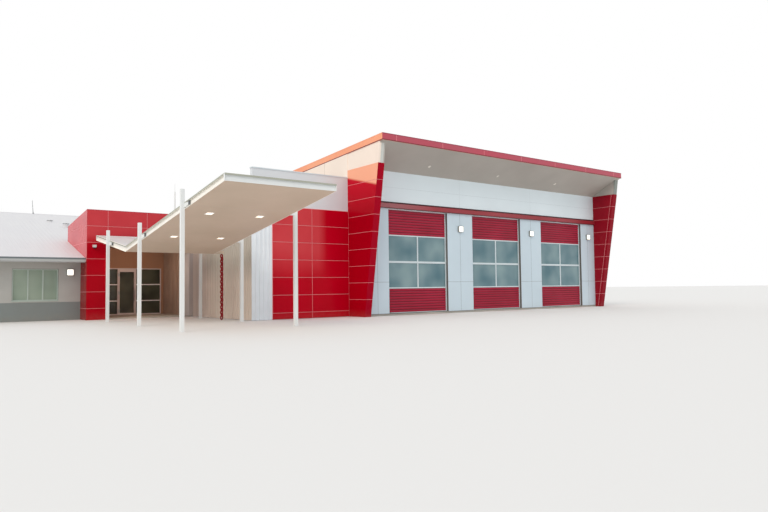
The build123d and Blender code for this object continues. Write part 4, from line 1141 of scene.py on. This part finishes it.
class STATION_OT_roof_sheets(bpy.types.Operator):
    """Ribs of the roof sheets"""

    bl_idname = "station.roof_sheets"
    bl_label = "Roof sheets"

    def execute(self, context):
        for name, arrays, material in (
                ("hall_roof_ribs", hall_roof_ribs(), "grey_roof_sheet"),
                ("wing_roof_ribs", wing_roof_ribs(), "pale_roof_sheet"),
                ("low_roof_ribs", low_roof_ribs(), "grey_roof_sheet"),
                ("canopy_roof_ribs", canopy_roof_ribs(), "grey_roof_sheet")):
            add_piece(name, arrays, material)
        return {"FINISHED"}


def rib_places(low, high):
    """Even places between two limits, at the rib pitch, with equal margins."""
    pitch = sizes().roof_rib_pitch
    count = int((high - low) // pitch)
    margin = (high - low - (count - 1) * pitch) / 2
    return low + margin + pitch * np.arange(count)


def slope_ribs(x, start, end, height):
    """Ribs from a point to another in the Y, Z plane, one at each X."""
    foot, crest = 0.055, 0.022
    run = np.array([0.0, end[0] - start[0], end[1] - start[1]])
    run /= np.linalg.norm(run)
    rise = np.array([0.0, -run[2], run[1]]) * np.sign(run[1])
    starts, ends = (x[:, None] * ALONG_X + (0.0, *point) for point in (start, end))
    return ribs(starts, ends, ALONG_X, rise, foot, crest, height)


def hall_roof_ribs():
    """Ribs down the hall's deck, from the front fascia to the rear one."""
    low, high = HALL_ROOF
    fall = ROOF_FALL * (high.y - low.y)
    return slope_ribs(rib_places(low.x, high.x), (low.y, high.z), (high.y, high.z - fall),
                      sizes().roof_rib_height)


def wing_top(y):
    """Height of the wing's front slope at a distance along Y."""
    rise = (WING_SLOPE[1].z - GUTTERS[1].z) / (WING_SLOPE[1].y - WING_SLOPE[0].y)
    return GUTTERS[1].z + rise * (y - WING_SLOPE[0].y)


def wing_roof_ribs():
    """Ribs down both slopes of the wing, from the ridge to the eaves."""
    (low, high), eaves, height = WING_SLOPE, GUTTERS[1].z, sizes().wing_rib_height
    clear, ridge = 0.03, (high.y, high.z)
    return joined(
        slope_ribs(rib_places(low.x, HEAD[0].x), ridge, (low.y, eaves), height),
        slope_ribs(rib_places(HEAD[0].x + clear, high.x), ridge,
                   (HEAD[1].y, wing_top(HEAD[1].y)), height),
        slope_ribs(rib_places(low.x, high.x), ridge, (WING_BACK_SLOPE[1].y, eaves), height))


def low_roof_ribs():
    """Ribs along the flat roof inside its parapets."""
    low, high = LOW_ROOF
    return slope_ribs(rib_places(low.x, high.x), (low.y, high.z), (high.y, high.z),
                      sizes().roof_rib_height)


def canopy_soffit(y):
    """Height of the canopy's underside: straight falls from both ends to the valley."""
    low, high = END_BEAMS
    return np.interp(y, (low.y, VALLEY_Y, high.y), (high.z - BEAM_DEPTH, VALLEY_Z, low.z))


def canopy_roof_ribs():
    """Ribs down both canopy wings to the valley gutter."""
    low, high = CANOPY_ROOF
    x, over, lap = rib_places(low.x, high.x), BEAM_DEPTH - 0.012, 0.105
    return joined(*[
        slope_ribs(x, (start, canopy_soffit(start) + over), (end, canopy_soffit(end) + over),
                   sizes().wing_rib_height)
        for start, end in ((low.y, VALLEY_Y - lap), (high.y, VALLEY_Y + lap))])


# Canopy

class STATION_OT_canopy(bpy.types.Operator):
    """Painted shade strips along the beams' upper edges and under their lower flanges, lights,
    brackets and post caps of the canopy
    """

    bl_idname = "station.canopy"
    bl_label = "Canopy"

    def execute(self, context):
        # Painted shade along the top of the beams' outer faces.
        add_piece("canopy_beam_shade_strips", beam_edge_shade_strips(), "painted_beam_shade_coat")
        # Painted shade under the beams' lower flanges.
        add_piece("painted_flange_shade", painted_flange_shade(), "beige_canopy_lining")
        add_piece("canopy_lining_joints", lining_joints(), "taupe_screen_coat")
        add_piece("canopy_light_lenses", canopy_lenses(), "warm_downlight_lens")
        add_piece("cleat_arms", cleat_arms(), "white_powder_coat")
        add_piece("cleat_end_plates", cleat_plates(), "dark_bracket_coat")
        add_piece("post_caps", post_caps(), "white_powder_coat", merged=True)
        return {"FINISHED"}


def beam_bars(x, over, up, width, height):
    """Bars along a side beam's bent line at an X, a height over the underside."""
    y = np.array([END_BEAMS[0].y + BEAM_FLANGE, VALLEY_Y, END_BEAMS[1].y - BEAM_FLANGE])
    points = np.stack([x + 0 * y, y, canopy_soffit(y) + over], axis=1)
    return bars(points[:2], points[1:], ALONG_X, (0, 0, up), width, height)


def beam_edge_shade_strips():
    """Grey-green strips of painted shade on the top of the beams' outer faces, where the upper
    flanges shade the webs: a deep one on the street end, and narrow ones along the raking sides
    and the back."""
    low, high = END_BEAMS
    thick, lift, side, deep = 0.003, 0.002, 0.042, 0.048
    top = BEAM_DEPTH + lift
    across = (low.x - thick, high.x + thick)
    front_z, back_z = high.z + lift, low.z + top
    ends = boxes((across, (low.y - thick, low.y), (front_z - deep, front_z)),
                 (across, (high.y, high.y + thick), (back_z - side, back_z)))
    return joined(*[beam_bars(x, top - side, 1, thick, side)
                    for x in (low.x - thick / 2, high.x + thick / 2)], ends)


def painted_flange_shade():
    """Strips in the lining's colour under the side and end beams' lower flanges: painted shade.
    """
    (low, high), thick, wide, narrow = END_BEAMS, 0.002, 0.048, 0.028
    strips = [beam_bars(low.x + 0.036, 0, -1, wide, thick),
              beam_bars(high.x - 0.046, 0, -1, narrow, thick)]
    across, front_z = (low.x + 0.012, high.x - 0.004), high.z - BEAM_DEPTH
    ends = boxes((across, (low.y + 0.012, low.y + 0.012 + wide), (front_z - thick, front_z)),
                 (across, (high.y - 0.060, high.y - 0.060 + wide), (low.z - thick, low.z)))
    return joined(*strips, ends)


def lining_joints():
    """Fine joints across the lining, one sheet apart, a hair below it."""
    sheet, back_sheet = 2.4, 2.2
    y = np.array([*np.arange(FRONT_LINING[0].y + sheet, VALLEY_Y, sheet), VALLEY_Y + back_sheet])
    z = canopy_soffit(y)
    return boxes(((FRONT_LINING[0].x, FRONT_LINING[1].x), about(y, 0.002),
                  (z - 0.0015, z + 0.004)))


def canopy_lenses():
    """Thin lenses in the four square lights, tilted with the lining."""
    half, inset, thick = 0.104, 0.125, 0.003
    low, high = DOWNLIGHTS
    places = [(x, y) for y in (low.y + inset, high.y - inset)
              for x in (low.x + inset, high.x - inset)]
    starts, ends = ([(x, y + step, canopy_soffit(y + step)) for x, y in places]
                    for step in (-half, half))
    return bars(starts, ends, ALONG_X, (0, 0, -1), 2 * half, thick)


def cleat_arms():
    """Stub arms that carry the left cleats on along the beam's channel."""
    z = canopy_soffit(POST_YS - 0.28) + BEAM_DEPTH / 2
    x = END_BEAMS[0].x
    return boxes(((x - 0.010, x + 0.046), (POST_YS - 0.365, POST_YS - 0.2075), about(z, 0.045)))


def cleat_plates():
    """Dark end plates of the stub arms, across the mouth of the channel."""
    z = canopy_soffit(POST_YS - 0.385) + BEAM_DEPTH / 2
    x = END_BEAMS[0].x
    return boxes(((x - 0.012, x + 0.044), (POST_YS - 0.405, POST_YS - 0.365), about(z, 0.060)))


def post_caps():
    """Low square caps on the six posts, with a slight crown."""
    half, over = 0.0575, 0.613
    centres = [(x, y, canopy_soffit(y) + over) for y in POST_YS
               for x in (POSTS[0].x + half, POSTS[1].x - half)]
    profile = [(0.0, 0.0), (0.060, 0.0), (0.060, 0.005), (0.050, 0.008), (0.0, 0.011)]
    return turned(profile, centres, 24, power=14.0)


# Rain chain

class STATION_OT_rain_chain(bpy.types.Operator):
    """Red chain of linked rings from the spout to its foot"""

    bl_idname = "station.rain_chain"
    bl_label = "Rain chain"

    def execute(self, context):
        chain = add_piece("linked_rain_chain", chain_links(), "red_chain_coat")
        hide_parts("rain_chain")
        return {"FINISHED"}


def chain_links():
    """Oval links, each a quarter turn from the last, that hang through one another."""
    (low, high), wire, half_width, stagger = CHAIN, 0.026, 0.046, 0.012
    count = sizes().chain_links
    pitch = (high.z - low.z - 4 * wire) / count
    odd = np.arange(count) % 2
    z = low.z + 2 * wire + pitch * (np.arange(count) + 0.5)
    x, y = (low.x + high.x) / 2, (low.y + high.y) / 2
    centres = np.stack([x + stagger * (2 * odd - 1), y + 0 * z, z], axis=1)
    return link_rings(centres, pitch / 2 + wire, half_width, wire,
                      math.radians(8) + math.pi / 2 * odd)


# Gabled wing and low roof

class STATION_OT_wing(bpy.types.Operator):
    """Sills, gaskets, gutter straps, vent cowls and aerials of the wing and low roof"""

    bl_idname = "station.wing"
    bl_label = "Wing and low roof"

    def execute(self, context):
        add_piece("window_sills", window_sills(), "green_window_coat")
        add_piece("window_seals", window_seals(), "black_rubber_seal")
        add_piece("gutter_straps", gutter_straps(), "galvanised_steel")
        add_piece("vent_cowls", vent_cowls(), "galvanised_steel", merged=True)
        add_piece("ridge_aerial", ridge_aerial(), "dark_bracket_coat",
                  merged=True)
        add_piece("low_roof_mast", low_roof_mast(), "white_powder_coat",
                  merged=True)
        return {"FINISHED"}


def window_lefts():
    """Left edges of the wing's windows: the front ones, and the rear ones in the middle
    of each third of their wall."""
    low, high = WING_REAR
    middles = low.x + (np.arange(3) + 0.5) * (high.x - low.x) / 3
    return WINDOWS[0].x + WINDOW_PITCH * np.arange(2), middles - WINDOW_WIDTH / 2


def window_sills():
    """Folded sills below the windows, a little wider than the openings."""
    front, rear = window_lefts()
    lap, deep, z = 0.02, 0.030, (WINDOWS[0].z - 0.028, WINDOWS[0].z)
    y_0, y_1 = WING_FRONT[0].y, WING_REAR[1].y
    return boxes(((front - lap, front + WINDOW_WIDTH + lap), (y_0 - deep, y_0), z),
                 ((rear - lap, rear + WINDOW_WIDTH + lap), (y_1, y_1 + deep), z))


def window_seals():
    """Dark gaskets round the outside of the window frames."""
    wide, deep, z_0, z_1, limits = 0.010, 0.004, WINDOWS[0].z, WINDOWS[1].z, []
    faces = (WINDOWS[0].y - 0.003, WINDOWS[1].y - 0.001)
    for left, face in zip(window_lefts(), faces):
        right, y = left + WINDOW_WIDTH, (face, face + deep)
        limits += [((left, left + wide), y, (z_0, z_1)), ((right - wide, right), y, (z_0, z_1)),
                   ((left, right), y, (z_1 - wide, z_1))]
    return boxes(*limits)


def gutter_straps():
    """Flat straps over the gutters, 1.2 m apart."""
    (low, high), first, step, half, reach = GUTTERS, 0.3, 1.2, 0.012, 0.135
    front, rear = (np.arange(low.x + first, end, step) for end in (HEAD[0].x, high.x))
    z = (high.z, high.z + 0.003)
    return boxes((about(front, half), (low.y, low.y + reach), z),
                 (about(rear, half), (high.y - reach, high.y), z))


def vent_cowls():
    """Round cowls on the roof vents: a dark throat, then a wider lid with a low crown.
    Each vent has its X, Y, radius and height over the roof."""
    vents = [(-17.95, 8.55, 0.125, 0.060), (-17.44, 6.95, 0.145, 0.190)]
    parts = []
    for x, y, radius, height in vents:
        profile = [(0.0, -0.020), (radius + 0.004, -0.020), (radius + 0.030, -0.008),
                   (radius + 0.030, 0.004), (radius + 0.010, 0.014), (0.0, 0.026)]
        parts.append(turned(profile, [(x, y, wing_top(y) + height)], 24))
    return joined(*parts)


def leaning_axes(start, end):
    """A frame whose third direction runs from one point to another, and its length."""
    rise = np.array(end) - np.array(start)
    length_along = np.linalg.norm(rise)
    rise /= length_along
    side = np.cross(ALONG_Y, rise)
    side /= np.linalg.norm(side)
    return np.array([side, np.cross(rise, side), rise]), length_along


def ridge_aerial():
    """A thin whip that leans a little, on a round foot at the ridge."""
    foot_x, tip_x, tip_z = -18.398, -18.452, 6.576
    ridge_y, ridge_z = WING_SLOPE[1].y, WING_SLOPE[1].z
    start = (foot_x, ridge_y, ridge_z)
    axes, tall = leaning_axes(start, (tip_x, ridge_y, tip_z))
    profile = [(0.0, 0.0), (0.060, 0.0), (0.050, 0.020), (0.022, 0.035), (0.020, 0.12),
               (0.014, 0.13), (0.012, tall * 0.6), (0.008, tall), (0.0, tall)]
    return turned(profile, [start], 12, axes)


def low_roof_mast():
    """A slim mast on the flat roof: a base flange, a stout tube and a thin tip."""
    x, y, foot_z = -12.58, 4.0, LOW_ROOF[1].z
    shoulder, tip = 6.651 - foot_z, 7.082 - foot_z
    profile = [(0.0, 0.0), (0.110, 0.0), (0.110, 0.010), (0.042, 0.014), (0.040, shoulder),
               (0.016, shoulder + 0.03), (0.012, tip), (0.0, tip)]
    return turned(profile, [(x, y, foot_z)], 16)


# Entry

class STATION_OT_entry(bpy.types.Operator):
    """Transom strips and glass beads of the screen and its door, and the head's capping"""

    bl_idname = "station.entry"
    bl_label = "Entry"

    def execute(self, context):
        add_piece("screen_transoms", screen_transoms(), "pale_transom_coat")
        add_piece("screen_beads", screen_beads(), "black_rubber_seal")
        add_piece("door_beads", door_beads(), "black_rubber_seal", DOOR)
        add_piece("head_top_edge", head_top_edge(), "crimson_capping")
        return {"FINISHED"}


def screen_transoms():
    """Pale cover strips on the screen's two transoms, both sides of the door."""
    y = SCREEN[0].y
    return boxes(*[(side, (y - 0.006, y), about(z, 0.020))
                   for side in PANE_SIDES for z in TRANSOM_LEVELS])


def bead_frame(across, upright, y, depth):
    """Four thin strips round the inside of a glass opening, given by its two spans."""
    wide, deep = 0.008, (y, y + depth)
    (left, right), (low, high) = across, upright
    return [((left, left + wide), deep, upright), ((right - wide, right), deep, upright),
            (across, deep, (low, low + wide)), (across, deep, (high - wide, high))]


def screen_beads():
    """Rubber beads round the fixed glass, on the street side."""
    depth = 0.007
    return boxes(*[bead for side in PANE_SIDES for level in PANE_LEVELS
                   for bead in bead_frame(side, level, SCREEN_GLASS[0].y - depth, depth)])


def door_beads():
    """Rubber beads round the door's glass, on both faces."""
    (low, high), depth = LEAF_GLASS, 0.006
    return boxes(*[bead for y in (low.y - depth, high.y)
                   for bead in bead_frame((low.x, high.x), (low.z, high.z), y, depth)])


def head_top_edge():
    """A slim folded capping along the top of the entry block's front."""
    low, high = HEAD
    return boxes(((low.x, high.x), (low.y - 0.003, low.y + 0.020),
                  (high.z - 0.018, high.z + 0.002)))


OPERATORS = (STATION_OT_stage, STATION_OT_finishes, STATION_OT_panel_joints,
             STATION_OT_wall_joints, STATION_OT_roof_edge, STATION_OT_bay_doors,
             STATION_OT_wall_lights, STATION_OT_roof_sheets, STATION_OT_canopy,
             STATION_OT_rain_chain, STATION_OT_wing, STATION_OT_entry)
STEPS = [operator.bl_idname.removeprefix("station.") for operator in OPERATORS]


class STATION_PT_panel(bpy.types.Panel):
    """Lists the station's steps and sizes"""

    bl_label = "Fire Station"
    bl_idname = "STATION_PT_panel"
    bl_space_type = "VIEW_3D"
    bl_region_type = "UI"
    bl_category = "Fire Station"

    def draw(self, context):
        for step in STEPS:
            self.layout.operator(f"station.{step}")
        for group in (context.scene.station_sizes, context.scene.station_colours):
            for name in group.__annotations__:
                self.layout.prop(group, name)


CLASSES = (StationSizes, StationColours, *OPERATORS, STATION_PT_panel)


def register():
    for cls in CLASSES:
        bpy.utils.register_class(cls)
    bpy.types.Scene.station_sizes = PointerProperty(type=StationSizes)
    bpy.types.Scene.station_colours = PointerProperty(type=StationColours)


def unregister():
    del bpy.types.Scene.station_sizes
    del bpy.types.Scene.station_colours
    for cls in reversed(CLASSES):
        bpy.utils.unregister_class(cls)


def main():
    """Runs every step in order."""
    register()
    for step in STEPS:
        getattr(bpy.ops.station, step)()


if __name__ == "__main__":
    main()
